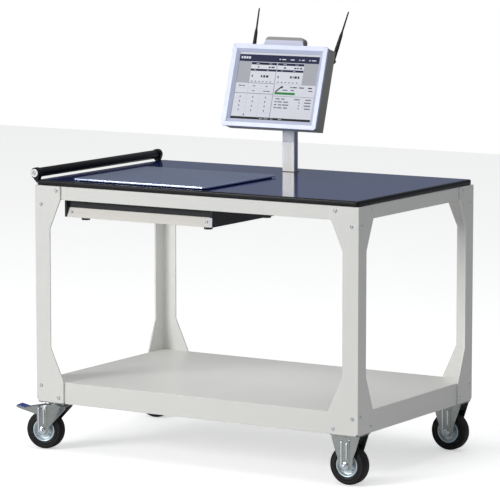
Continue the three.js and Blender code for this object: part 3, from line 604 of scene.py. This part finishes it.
def build_drawer_front_screws():
    low, high = extent("drawer_front")
    outward = Vector((0, -(high.z - low.z), DRAWER_FRONT_LEAN)).normalized()
    bm = bmesh.new()
    for x in (low.x + DRAWER_SCREW_INSET, high.x - DRAWER_SCREW_INSET):
        place = Vector((x, low.y + DRAWER_FRONT_LEAN / 2, (low.z + high.z) / 2))
        add_pan_head(bm, place, outward, radius=3.4)
    piece("drawer_front_screws", bm, bright_steel, "drawer", ORIGIN)


def build_drawer_cheek_highlight():
    """A pale strip on the housing's right cheek: a painted highlight along the cheek's bright front edge."""
    low, high = extent("drawer_housing")
    front_high = extent("drawer_front")[1]
    bm = bmesh.new()
    strip_low = (front_high.x + 0.9, low.y - 0.8, low.z + 0.5)
    strip_high = (high.x - 0.3, low.y + 0.4, front_high.z)
    add_block(bm, strip_low, strip_high, bevel=0.35)
    piece("drawer_cheek_highlight", bm, drawer_edge_highlight, "bench", ORIGIN)


def tray_field():
    """The lowest and highest corner of the tray's floor, a small gap away from its walls."""
    low, high = extent("drawer_tray")
    inset = TRAY_SHEET + MAT_GAP
    floor = low.z + TRAY_SHEET
    return Vector((low.x + inset, low.y + inset, floor)), Vector((high.x - inset, high.y - inset, floor))


def build_drawer_mat():
    """A ribbed rubber mat on the tray's floor."""
    low, high = tray_field()
    bm = bmesh.new()
    add_block(bm, low, (high.x, high.y, low.z + MAT_THICKNESS), bevel=0.4)
    pitch = (high.x - low.x) / MAT_RIBS
    for number in range(1, MAT_RIBS):
        x = low.x + number * pitch
        add_block(bm, (x - 1.2, low.y + 4, low.z + 1.0), (x + 1.2, high.y - 4, low.z + 1.8), bevel=0.3)
    piece("drawer_mat", bm, drawer_mat, "drawer", ORIGIN)


def build_drawer_dividers():
    """Two low walls that part the tray into three fields, with a wider foot at each end."""
    low, high = tray_field()
    front, rear = low.y - 1, high.y + 1
    bm = bmesh.new()
    for share in (1 / 3, 2 / 3):
        x = low.x + share * (high.x - low.x)
        add_block(bm, (x - 0.8, front, low.z + 1), (x + 0.8, rear, low.z + 16), bevel=0.5)
        for y0, y1 in ((front, front + DIVIDER_FOOT), (rear - DIVIDER_FOOT, rear)):
            add_block(bm, (x - 7, y0, low.z + 1), (x + 7, y1, low.z + 15), bevel=0.4)
    piece("drawer_dividers", bm, zinc_plate, "drawer", ORIGIN)


def build_slide_rivets():
    """A row of rivets along the inner face of each slide."""
    for side, side_sign in SIDES:
        low, high = extent(f"drawer_slide_{side}")
        inner_x = high.x if side_sign < 0 else low.x
        pitch = (high.y - low.y - 2 * SLIDE_RIVET_INSET) / (SLIDE_RIVETS - 1)
        bm = bmesh.new()
        for number in range(SLIDE_RIVETS):
            place = Vector((inner_x, low.y + SLIDE_RIVET_INSET + number * pitch, (low.z + high.z) / 2))
            add_turned(bm, SLIDE_RIVET, facing(place, (-side_sign, 0, 0)), 16)
        body = NODE_BODIES[f"drawer_slide_{side}"]
        piece(f"drawer_slide_rivets_{side}", bm, bright_steel, body, ORIGIN)


# ---------------------------------------------------------------- post

def add_extrusion(bm, outline, low, high):
    """Pulls an outline of (x, y) points up from one height to another."""
    lower = [bm.verts.new((x, y, low)) for x, y in outline]
    upper = [bm.verts.new((x, y, high)) for x, y in outline]
    bm.faces.new(list(reversed(lower)))
    bm.faces.new(upper)
    for index in range(len(outline)):
        after = (index + 1) % len(outline)
        bm.faces.new((lower[index], lower[after], upper[after], upper[index]))


def grooved_outline(low, high, corner=1.6):
    """A rectangle with cut corners and narrow grooves along its front and rear sides."""
    front = [(low.x + corner, low.y)]
    bottom = low.y + POST_GROOVE_DEPTH
    for share in POST_GROOVES:
        x = low.x + share * (high.x - low.x)
        left, right = x - POST_GROOVE_WIDTH / 2, x + POST_GROOVE_WIDTH / 2
        front += [(left, low.y), (left, bottom), (right, bottom), (right, low.y)]
    front += [(high.x - corner, low.y),
              (high.x - corner * 0.3, low.y + corner * 0.3),
              (high.x, low.y + corner)]
    return front + [(low.x + high.x - x, low.y + high.y - y) for x, y in front]


def build_post():
    low, high = extent("post")
    bm = bmesh.new()
    add_extrusion(bm, grooved_outline(low, high), low.z, high.z)
    grooved = piece("post_profile", bm, post_aluminium, "bench", ORIGIN)
    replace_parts(grooved, "post")
    softened("post_head", 0.7)
    softened("tilt_pin", 0.6)
    build_post_side_strips(low, high)
    build_post_collar_and_seam(low, high)


def build_post_side_strips(low, high):
    """Grey strips along the post's two narrow sides, below and above its seam: painted shade that darkens these
    sides.
    """
    top = extent("post_head")[1].z
    bm = bmesh.new()
    for x, outward in ((low.x, -1), (high.x, 1)):
        for bottom, end in ((low.z + 0.5, high.z - 0.6), (high.z + 1.2, top - 14)):
            x0, x1 = sorted((x - outward * 0.5, x + outward * 0.6))
            add_block(bm, (x0, low.y + 2.4, bottom), (x1, high.y - 2.4, end), 0.4)
    piece("post_side_strips", bm, painted_side_shade_and_seam, "bench", ORIGIN)


def build_post_collar_and_seam(low, high):
    """The flat collar around the post's foot and the thin seam under its head."""
    collar = bmesh.new()
    add_block(collar, (low.x - 3, low.y - 3, low.z - 0.2), (high.x + 3, high.y + 3, low.z + 1.8), bevel=0.8)
    piece("post_foot_collar", collar, hood_grey, "bench", ORIGIN)
    seam = bmesh.new()
    seam_low = (low.x - 0.25, low.y - 0.25, high.z - 0.4)
    seam_high = (high.x + 0.25, high.y + 0.25, high.z + 0.8)
    add_block(seam, seam_low, seam_high, bevel=0.2)
    piece("post_seam", seam, painted_side_shade_and_seam, "bench", ORIGIN)


# ---------------------------------------------------------------- terminal

# The antennas fold about the terminal's own front-to-back axis.
backward = Vector(JOINTS["antenna_left_fold"]["axis"]).normalized()
terminal_turn = Matrix((ACROSS, backward, ACROSS.cross(backward))).transposed().to_4x4()
terminal_seat = Matrix.Translation(Vector(JOINTS["terminal_tilt"]["pos_m"])) @ terminal_turn
screen_front = extent("screen", terminal_seat)[0].y


def on_screen(u, v):
    """A place on the display: u from its left, v down from its top, both 0 to 1."""
    width, height = BEZEL_OPENING
    return (u - 0.5) * width, (0.5 - v) * height


def add_patch(bm, span_u, span_v, layer):
    """A thin slab over part of the display. A higher layer lies over a lower one."""
    x0, z1 = on_screen(span_u[0], span_v[0])
    x1, z0 = on_screen(span_u[1], span_v[1])
    size = Vector((x1 - x0, PATCH_THICKNESS, z1 - z0))
    middle_y = screen_front - LAYER_STEP * layer - PATCH_THICKNESS / 2
    centre = Vector(((x0 + x1) / 2, middle_y, (z0 + z1) / 2))
    bmesh.ops.create_cube(bm, size=1.0, matrix=Matrix.Translation(centre) @ Matrix.Diagonal((*size, 1)))


def add_marks(bm, starts, widths, v, height):
    """A row of short generic marks that stand for words and figures."""
    for u, width in zip(starts, widths):
        add_patch(bm, (u, u + width), (v, v + height), MARK_LAYER)


def screen_piece(name, material, patches, layer):
    bm = bmesh.new()
    for span_u, span_v in patches:
        add_patch(bm, span_u, span_v, layer)
    piece(name, bm, material, "terminal", terminal_seat)


def build_display():
    # The glowing white strip along the display's top edge is a painted highlight under the bezel's top rim.
    screen_piece("display_top_highlight", display_white, [((0.0, 1.0), (0.0, 0.03))], 1)
    screen_piece("display_title_bars", display_navy, [
        ((0.0, 1.0), (0.03, 0.135)),
        ((0.162, 0.478), (0.145, 0.180)),
        ((0.492, 0.818), (0.145, 0.180)),
        ((0.160, 0.480), (0.243, 0.275)),
        ((0.490, 0.820), (0.243, 0.275)),
    ], 3)
    screen_piece("display_side_fields", display_grey, [
        ((0.0, 0.158), (0.135, 0.458)),
        ((0.822, 1.0), (0.135, 0.458)),
    ], 1)
    screen_piece("display_value_fields", display_white, [
        ((0.162, 0.478), (0.180, 0.243)),
        ((0.492, 0.818), (0.180, 0.243)),
        ((0.160, 0.480), (0.275, 0.452)),
        ((0.490, 0.820), (0.275, 0.452)),
        ((0.495, 1.0), (0.463, 0.635)),
        ((0.495, 1.0), (0.640, 0.965)),
    ], 2)
    screen_piece("display_progress_bar", display_green, [((0.503, 0.757), (0.578, 0.612))], 3)
    screen_piece("display_bottom_bar", display_black, [((0.0, 1.0), (0.965, 1.0))], 3)
    screen_piece("display_field_outline", display_line, [
        ((0.156, 0.160), (0.275, 0.458)),
        ((0.480, 0.484), (0.145, 0.458)),
        ((0.156, 0.484), (0.452, 0.458)),
        ((0.485, 0.489), (0.463, 0.965)),
        ((0.0, 0.485), (0.610, 0.616)),
        ((0.495, 1.0), (0.635, 0.640)),
    ], 3)
    build_display_keys()
    build_light_marks()
    build_dark_marks()
    build_list_rows()
    build_tool_picture()


def build_display_keys():
    """The keypad's light keys, which leave thin lines of the panel between them."""
    columns = ((0.006, 0.160), (0.166, 0.322), (0.328, 0.482))
    rows = ((0.466, 0.536), (0.541, 0.607), (0.620, 0.688), (0.693, 0.755), (0.760, 0.822), (0.827, 0.889))
    keys = [(column, row) for row in rows for column in columns]
    keys += [((0.006, 0.322), (0.894, 0.960)), ((0.328, 0.482), (0.894, 0.960))]
    screen_piece("display_keys", display_white, keys, 2)


def build_light_marks():
    """The pale marks on the title bars and the bottom bar."""
    title = bmesh.new()
    add_marks(title, (0.02, 0.05, 0.085, 0.115), (0.022, 0.028, 0.022, 0.024), 0.062, 0.034)
    add_marks(title, (0.50, 0.535, 0.64, 0.745, 0.78, 0.87, 0.905),
              (0.02, 0.05, 0.05, 0.015, 0.035, 0.02, 0.055), 0.082, 0.014)
    for start in (0.22, 0.38, 0.56, 0.71):
        add_marks(title, (start,), (0.04,), 0.160, 0.006)
        add_marks(title, (start - 0.02,), (0.03,), 0.257, 0.005)
    add_marks(title, (0.36, 0.42, 0.50, 0.60), (0.04, 0.05, 0.03, 0.04), 0.980, 0.006)
    piece("display_light_marks", title, display_white, "terminal", terminal_seat)


def build_dark_marks():
    """The dark marks on the keys and in the value fields."""
    dark = bmesh.new()
    add_marks(dark, (0.245, 0.38, 0.415, 0.57, 0.70, 0.735, 0.77),
              (0.018, 0.025, 0.04, 0.03, 0.025, 0.02, 0.03), 0.204, 0.020)
    add_marks(dark, (0.185, 0.30, 0.33, 0.365, 0.51), (0.014, 0.018, 0.026, 0.03, 0.014), 0.335, 0.034)
    add_marks(dark, (0.665, 0.70, 0.72, 0.76), (0.022, 0.010, 0.03, 0.022), 0.332, 0.034)
    for start in (0.185, 0.515):
        add_marks(dark, [start + 0.047 * step for step in range(6)], [0.018] * 6, 0.425, 0.012)
    for column in (0.075, 0.235, 0.395):
        for row in (0.655, 0.722, 0.788, 0.855):
            add_marks(dark, (column,), (0.012,), row, 0.022)
    add_marks(dark, (0.15,), (0.014,), 0.922, 0.024)
    add_marks(dark, (0.04, 0.09, 0.22, 0.38), (0.04, 0.03, 0.03, 0.025), 0.496, 0.012)
    add_marks(dark, (0.22, 0.36, 0.40), (0.03, 0.03, 0.04), 0.568, 0.012)
    add_marks(dark, (0.69, 0.72, 0.80, 0.91, 0.92), (0.02, 0.05, 0.06, 0.05, 0.04), 0.492, 0.016)
    add_marks(dark, (0.60, 0.70, 0.92), (0.06, 0.04, 0.05), 0.538, 0.012)
    piece("display_dark_marks", dark, display_dark, "terminal", terminal_seat)


def build_list_rows():
    lines = bmesh.new()
    for row, starts, widths in (
            (0.668, (0.53, 0.60, 0.76, 0.90), (0.05, 0.04, 0.07, 0.07)),
            (0.712, (0.52, 0.56, 0.63, 0.82, 0.89), (0.03, 0.05, 0.06, 0.015, 0.08)),
            (0.756, (0.52, 0.57, 0.62, 0.82, 0.89), (0.03, 0.04, 0.08, 0.015, 0.08)),
            (0.800, (0.52, 0.56, 0.64, 0.82, 0.90), (0.03, 0.06, 0.05, 0.015, 0.07))):
        add_marks(lines, starts, widths, row, 0.018)
    piece("display_list_rows", lines, display_line, "terminal", terminal_seat)


def build_tool_picture():
    """A slanted bar in seven steps, wider in its last two."""
    tool = bmesh.new()
    for step in range(7):
        share = step / 6
        width = 0.014 if step < 5 else 0.028
        u, v = 0.512 + 0.06 * share, 0.556 - 0.07 * share
        add_patch(tool, (u, u + width), (v, v + 0.022), MARK_LAYER)
    piece("display_tool_picture", tool, display_dark, "terminal", terminal_seat)


def build_hood_front():
    """The pale plate over the bezel's top edge, in front of the terminal's grip."""
    low, high = extent("terminal_handle", terminal_seat)
    bezel_high = extent("terminal_bezel", terminal_seat)[1]
    base_z = bezel_high.z - 1
    top_z = low.z + 22
    slant = 6
    thickness = 3
    outline = [(low.x - 2, base_z), (high.x + 2, base_z), (high.x - slant, top_z), (low.x + slant, top_z)]
    bm = bmesh.new()
    add_extrusion(bm, outline, 0, thickness)
    bmesh.ops.bevel(bm, geom=list(bm.edges), offset=0.8, segments=2, affect="EDGES", profile=0.5)
    upright = Matrix.Translation((0, low.y + 0.2, 0)) @ Matrix.Rotation(math.radians(90), 4, "X")
    bm.transform(upright)
    piece("hood_front_plate", bm, hood_plate_paint, "terminal", terminal_seat)


def build_terminal_rear():
    rear_y = extent("terminal_mount", terminal_seat)[0].y
    build_terminal_vents(rear_y)
    build_terminal_screws(rear_y)
    build_terminal_ports(rear_y)


def build_terminal_vents(rear_y):
    """Two blocks of level slots on the terminal's rear, drawn as dark strips standing on it: painted shade in
    place of open slots.
    """
    slots = bmesh.new()
    for centre_x in (-VENT_X, VENT_X):
        left, right = centre_x - VENT_HALF_LENGTH, centre_x + VENT_HALF_LENGTH
        for number in range(VENTS):
            z = TOP_VENT_Z - number * VENT_PITCH
            add_block(slots, (left, rear_y - 0.6, z - 1.2), (right, rear_y + 0.25, z + 1.2), bevel=0.4)
    piece("terminal_vents", slots, socket_black, "terminal", terminal_seat)


def build_terminal_screws(rear_y):
    """A screw at each corner of the housing's rear and four on the mount."""
    low, high = extent("terminal_housing", terminal_seat)
    screws = bmesh.new()
    for x in (low.x + REAR_SCREW_INSET, high.x - REAR_SCREW_INSET):
        for z in (low.z + REAR_SCREW_INSET, high.z - REAR_SCREW_INSET):
            add_pan_head(screws, Vector((x, rear_y - 0.3, z)), (0, 1, 0), radius=3.0)
    for x in (-MOUNT_SCREW, MOUNT_SCREW):
        for z in (-MOUNT_SCREW, MOUNT_SCREW):
            add_pan_head(screws, Vector((x, rear_y + 4, z)), (0, 1, 0), radius=3.4)
    piece("terminal_rear_screws", screws, bright_steel, "terminal", terminal_seat)


def build_terminal_ports(rear_y):
    """A row of sockets along the bottom of the terminal's rear, each with a dark mouth."""
    ports = bmesh.new()
    mouths = bmesh.new()
    for number, width in enumerate(PORT_WIDTHS):
        x = FIRST_PORT_X + number * PORT_PITCH
        half = width / 2
        add_block(ports, (x - half, rear_y - 0.5, -116), (x + half, rear_y + 1.4, -105), bevel=0.7)
        add_block(mouths, (x - half + 2, rear_y, -114), (x + half - 2, rear_y + 1.6, -107), bevel=0.4)
    piece("terminal_ports", ports, zinc_plate, "terminal", terminal_seat)
    piece("terminal_port_mouths", mouths, socket_black, "terminal", terminal_seat)


def build_bezel_lines():
    """Fine raised lines along the four mitred corners of the bezel."""
    low, high = extent("terminal_bezel", terminal_seat)
    half_w, half_h = BEZEL_OPENING[0] / 2, BEZEL_OPENING[1] / 2
    inset = BEZEL_SLOPE * 0.98
    rim = 2.2
    radius = 0.45
    y = low.y + 0.1
    bm = bmesh.new()
    for sign_x in (-1, 1):
        for sign_z in (-1, 1):
            inner = Vector((sign_x * (half_w + inset), y, sign_z * (half_h + inset)))
            outer = Vector((sign_x * (high.x - rim), y, sign_z * (high.z - rim)))
            along = outer - inner
            seat = facing(inner, along, along=Vector((0, 1, 0)))
            add_turned(bm, [(0, 0), (radius, 0), (radius, along.length), (0, along.length)], seat, 8)
    piece("bezel_mitre_lines", bm, bezel_silver, "terminal", terminal_seat)


def antenna_direction(side):
    """The antenna's pivot, and the direction from there to its far tip."""
    pivot = Vector(JOINTS[f"antenna_{side}_fold"]["pos_m"])
    points = [vert.co for vert in frame["nodes"][f"antenna_{side}"].data.vertices]
    reach = max((point - pivot).length for point in points)
    tip = [point for point in points if (point - pivot).length > 0.97 * reach]
    return pivot, (sum(tip, Vector()) / len(tip) - pivot).normalized()


def build_antennas():
    for side, _ in SIDES:
        softened(f"antenna_{side}", 0.3, curve_limit=40)
        pivot, direction = antenna_direction(side)
        rings = bmesh.new()
        for height in ANTENNA_RINGS:
            add_closed_ring(rings, [(radius, height + along) for radius, along in ANTENNA_RING], ORIGIN, 24)
        seat = facing(pivot, direction, along=Vector((0, 1, 0)))
        piece(f"antenna_rings_{side}", rings, socket_black, f"antenna_{side}_whip", seat)


def build_terminal():
    softened("terminal_housing", 1.2)
    softened("terminal_bezel", 1.0, curve_limit=20)
    softened("terminal_handle", 1.6, material=hood_grey, segments=3)
    softened("terminal_mount", 0.8)
    build_display()
    build_bezel_lines()
    build_hood_front()
    build_terminal_rear()
    build_antennas()


# ---------------------------------------------------------------- castors

def castor_seat(name):
    """The castor's own axes: up is +Z, the wheel's axle runs along Y."""
    axle = Vector(JOINTS[f"wheel_{name}_spin"]["axis"])
    turn = Matrix.Rotation(math.atan2(-axle.x, axle.y), 4, "Z")
    swivel = JOINTS.get(f"castor_{name}_swivel")
    centre = Vector((swivel or JOINTS[f"wheel_{name}_spin"])["pos_m"])
    return Matrix.Translation((centre.x, centre.y, 0)) @ turn


def wheel_seat(name):
    """The wheel's axes: Z along the axle, in metres at the wheel's middle."""
    joint = JOINTS[f"wheel_{name}_spin"]
    return facing(Vector(joint["pos_m"]), Vector(joint["axis"]))


# One side of the tyre and of the rim: radius, then distance from the wheel's middle.
TYRE_SIDE = (
    (RIM_RADIUS, 17.6), (39.0, 18.8), (41.5, 19.2), (43.0, 19.9), (45.5, 19.9), (46.5, 19.2), (52.0, 19.4),
    (54.0, 19.9), (57.0, 19.4), (59.6, 17.6), (61.3, 14.8), (62.1, 11.6), (62.1, 10.4), (61.4, 10.1),
    (61.4, 9.1), (62.3, 8.8), (62.5, 4.6), (61.8, 4.3), (61.8, 3.3), (62.5, 3.0),
)
RIM_SIDE = (
    (8.4, 20.6), (9.0, 21.4), (12.2, 21.4), (13.0, 20.6), (13.8, 15.4), (15.4, 13.4), (20.0, 12.4),
    (27.0, RIM_WEB), (29.6, 13.2), (31.6, 16.8), (33.4, 19.3), (35.2, 20.2), (36.8, 19.8), (37.5, 18.6),
)


def mirrored_profile(side):
    near = [(radius, -along) for radius, along in side]
    return near + [(radius, along) for radius, along in reversed(side)]


def build_wheel(name):
    body = f"wheel_{name}"
    seat = wheel_seat(name)
    tyre = bmesh.new()
    add_closed_ring(tyre, mirrored_profile(TYRE_SIDE), ORIGIN, 80)
    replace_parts(piece(f"tyre_rubber_{name}", tyre, tyre_rubber, body, seat), f"tyre_{name}")
    rim = bmesh.new()
    add_closed_ring(rim, mirrored_profile(RIM_SIDE), ORIGIN, 72)
    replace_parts(piece(f"rim_pressing_{name}", rim, rim_zinc, body, seat), f"rim_{name}")
    seals = bmesh.new()
    bolts = bmesh.new()
    for outward in (-1, 1):
        add_closed_ring(seals, [(radius, outward * along) for radius, along in BEARING_SEAL], ORIGIN, 32)
        for number in range(4):
            angle = math.radians(45 + 90 * number)
            x, y = RIM_BOLT_CIRCLE * math.cos(angle), RIM_BOLT_CIRCLE * math.sin(angle)
            add_hex_head(bolts, Vector((x, y, outward * RIM_WEB)), (0, 0, outward), radius=3.6, height=3.0)
    piece(f"bearing_seals_{name}", seals, socket_black, body, seat)
    piece(f"rim_bolts_{name}", bolts, bright_steel, body, seat)


def build_axle_ends(name, body):
    """The axle's round end past each hexagon head and the washer behind that head."""
    low, high = extent(f"axle_{name}", castor_seat(name))
    axle_x = (low.x + high.x) / 2
    bm = bmesh.new()
    for face_y, outward in ((low.y, -1), (high.y, 1)):
        seat = facing(Vector((axle_x, face_y, WHEEL_RADIUS)), (0, outward, 0))
        add_turned(bm, AXLE_END, seat, 20)
        washer_y = face_y - outward * WASHER_DEPTH
        add_turned(bm, AXLE_WASHER, facing(Vector((axle_x, washer_y, WHEEL_RADIUS)), (0, outward, 0)), 32)
    piece(f"axle_end_{name}", bm, bright_steel, body, castor_seat(name))


def build_plate_bolts(name, end, side):
    """Bolt heads under the castor's top plate, at its four corners."""
    node = f"castor_plate_{name}" if side == "left" else f"fork_{name}"
    low, high = extent(node, bench_seat)
    plate_top = extent(f"leg_{end}_{side}", bench_seat)[0].z - CASTOR_PLATE_BELOW_LEG
    under = plate_top - CASTOR_PLATE_THICKNESS
    inset = 10
    bm = bmesh.new()
    for x in (low.x + inset, high.x - inset):
        for y in (low.y + inset, high.y - inset):
            add_hex_head(bm, Vector((x, y, under + 0.05)), (0, 0, -1), radius=4.6, height=3.2)
    piece(f"plate_bolts_{name}", bm, bright_steel, "bench", bench_seat)


def build_fork_ribs(name, body):
    """Two rounded ribs pressed out of each fork sheet."""
    seat = castor_seat(name)
    axle_low, axle_high = extent(f"axle_{name}", seat)
    axle_x = (axle_low.x + axle_high.x) / 2
    bm = bmesh.new()
    for outward in (-1, 1):
        y0, y1 = sorted((outward * (FORK_OUTER - 0.6), outward * (FORK_OUTER + 2.4)))
        for along, bottom, top in FORK_RIBS:
            x0 = axle_x + along - FORK_RIB_HALF_WIDTH
            x1 = axle_x + along + FORK_RIB_HALF_WIDTH
            add_block(bm, (x0, y0, bottom), (x1, y1, top), bevel=1.4, segments=3)
    piece(f"fork_ribs_{name}", bm, bright_steel, body, seat)


def build_pedal(name):
    """The brake pedal with a ribbed tread over its tip."""
    body = f"pedal_{name}"
    softened(f"brake_pedal_{name}", 0.6)
    seat = castor_seat(name)
    tip = extent(f"brake_pedal_{name}", seat)[0].x
    tread = bmesh.new()
    outline = [(tip + from_tip, z) for from_tip, z in TREAD_OUTLINE]
    add_extrusion(tread, outline, -TREAD_HALF_WIDTH, TREAD_HALF_WIDTH)
    bmesh.ops.bevel(tread, geom=list(tread.edges), offset=0.5, segments=2, affect="EDGES", profile=0.5)
    tread.transform(Matrix.Rotation(math.radians(90), 4, "X"))
    crest_x, crest_z = TREAD_OUTLINE[-1]
    rib_half_length = TREAD_HALF_WIDTH - 2
    for number in range(1, TREAD_RIBS + 1):
        from_tip = number * TREAD_RIB_PITCH
        x = tip + from_tip
        top = crest_z - (from_tip - crest_x) * TREAD_FALL
        rib_low, rib_high = (x - 0.9, -rib_half_length, top - 0.6), (x + 0.9, rib_half_length, top + 0.9)
        add_block(tread, rib_low, rib_high, bevel=0.4)
    piece(f"pedal_tread_{name}", tread, pedal_blue, body, seat)


def build_castors():
    for end, side, _, _ in corner_names():
        name = f"{end}_{side}"
        body = NODE_BODIES[f"fork_{name}"]
        softened(f"fork_{name}", 0.8)
        softened(f"axle_{name}", 0.8, material=bright_steel)
        build_wheel(name)
        build_fork_ribs(name, body)
        build_axle_ends(name, body)
        build_plate_bolts(name, end, side)
        if side == "left":
            softened(f"castor_plate_{name}", 0.8)
            build_pedal(name)


# ---------------------------------------------------------------- studio

def area_light(name, place, target, size, power):
    """A rectangular lamp. Its place, target and size are metres."""
    data = bpy.data.lights.new(name, "AREA")
    data.shape = "RECTANGLE"
    data.size, data.size_y = size
    data.energy = power
    light = bpy.data.objects.new(name, data)
    light.location = place
    light.rotation_euler = (Vector(target) - Vector(place)).to_track_quat("-Z", "Y").to_euler()
    bpy.context.scene.collection.objects.link(light)
    return light


def floor_material():
    """A pale matt floor. Seen directly it is lifted towards the white backdrop."""
    material = coated("studio floor", linear(246, 246, 246), 0.75, grain=120.0, mottle=0.01, bump=0.02,
                      Emission_Color=(1, 1, 1, 1))
    nodes, links = material.node_tree.nodes, material.node_tree.links
    seen = nodes.new("ShaderNodeLightPath").outputs["Is Camera Ray"]
    lift = arithmetic(nodes, links, "MULTIPLY", seen, FLOOR_LIFT)
    links.new(lift, nodes["Principled BSDF"].inputs["Emission Strength"])
    return material


def build_floor():
    bm = bmesh.new()
    bmesh.ops.create_grid(bm, x_segments=6, y_segments=6, size=FLOOR_REACH)
    mesh = bpy.data.meshes.new("studio_floor")
    bm.transform(Matrix.Scale(MM, 4))
    bm.to_mesh(mesh)
    bm.free()
    floor = bpy.data.objects.new("studio_floor", mesh)
    floor.location.z = -FLOOR_DROP_M
    mesh.materials.append(floor_material())
    bpy.context.scene.collection.objects.link(floor)


def build_world():
    """Seen directly it is a white studio. As light it is dimmer and falls off towards the horizon."""
    world = bpy.data.worlds.new("studio")
    world.use_nodes = True
    nodes, links = world.node_tree.nodes, world.node_tree.links
    around = nodes["Background"]
    backdrop = nodes.new("ShaderNodeBackground")
    backdrop.inputs["Color"].default_value = (1, 1, 1, 1)
    backdrop.inputs["Strength"].default_value = 1.0
    direction = nodes.new("ShaderNodeTexCoord").outputs["Generated"]
    parts = nodes.new("ShaderNodeSeparateXYZ")
    links.new(direction, parts.inputs["Vector"])
    ramp = nodes.new("ShaderNodeValToRGB")
    ramp.color_ramp.elements[0].position = 0.0
    ramp.color_ramp.elements[0].color = HORIZON_LIGHT
    ramp.color_ramp.elements[1].position = 0.75
    ramp.color_ramp.elements[1].color = OVERHEAD_LIGHT
    links.new(parts.outputs["Z"], ramp.inputs["Fac"])
    links.new(ramp.outputs["Color"], around.inputs["Color"])
    around.inputs["Strength"].default_value = 1.0
    seen = nodes.new("ShaderNodeLightPath").outputs["Is Camera Ray"]
    chosen = nodes.new("ShaderNodeMixShader")
    links.new(seen, chosen.inputs["Fac"])
    links.new(around.outputs["Background"], chosen.inputs[1])
    links.new(backdrop.outputs["Background"], chosen.inputs[2])
    links.new(chosen.outputs["Shader"], nodes["World Output"].inputs["Surface"])
    bpy.context.scene.world = world


def build_studio():
    build_floor()
    build_world()
    middle = (0.0, 0.0, 0.6)
    area_light("key light", place=(-5.0, -9.0, 4.2), target=middle, size=(4.0, 3.6), power=640)
    area_light("top light", place=(0.2, -0.6, 4.6), target=middle, size=(3.2, 2.4), power=40)
    fill = area_light("fill light", place=(0.05, 0.0, 0.745), target=(0.05, 0.0, 0.0), size=(1.05, 0.6),
                      power=3.2)
    fill.visible_camera = False
    fill.visible_glossy = False
    bpy.context.scene.view_settings.view_transform = "Standard"


def build_camera():
    data = bpy.data.cameras.new("bench camera")
    data.sensor_width = 36
    data.lens = CAMERA_LENS
    data.clip_end = 60
    camera = bpy.data.objects.new("bench camera", data)
    camera.location = bench_middle_m + CAMERA_FROM_BENCH_M
    aim = Matrix.Rotation(CAMERA_YAW, 4, "Z") @ Matrix.Rotation(math.radians(90) - CAMERA_PITCH, 4, "X")
    camera.rotation_euler = (aim @ Matrix.Rotation(-CAMERA_ROLL, 4, "Z")).to_euler()
    bpy.context.scene.collection.objects.link(camera)
    bpy.context.scene.camera = camera


def paint_nodes():
    """Gives each node of the frame its slot's finish."""
    for name, node in frame["nodes"].items():
        node.data.materials.clear()
        node.data.materials.append(SLOT_MATERIALS[NODE_SLOTS[name]])


paint_nodes()
build_frame()
build_worktop()
build_handle()
build_drawer()
build_post()
build_terminal()
build_castors()
build_studio()
build_camera()
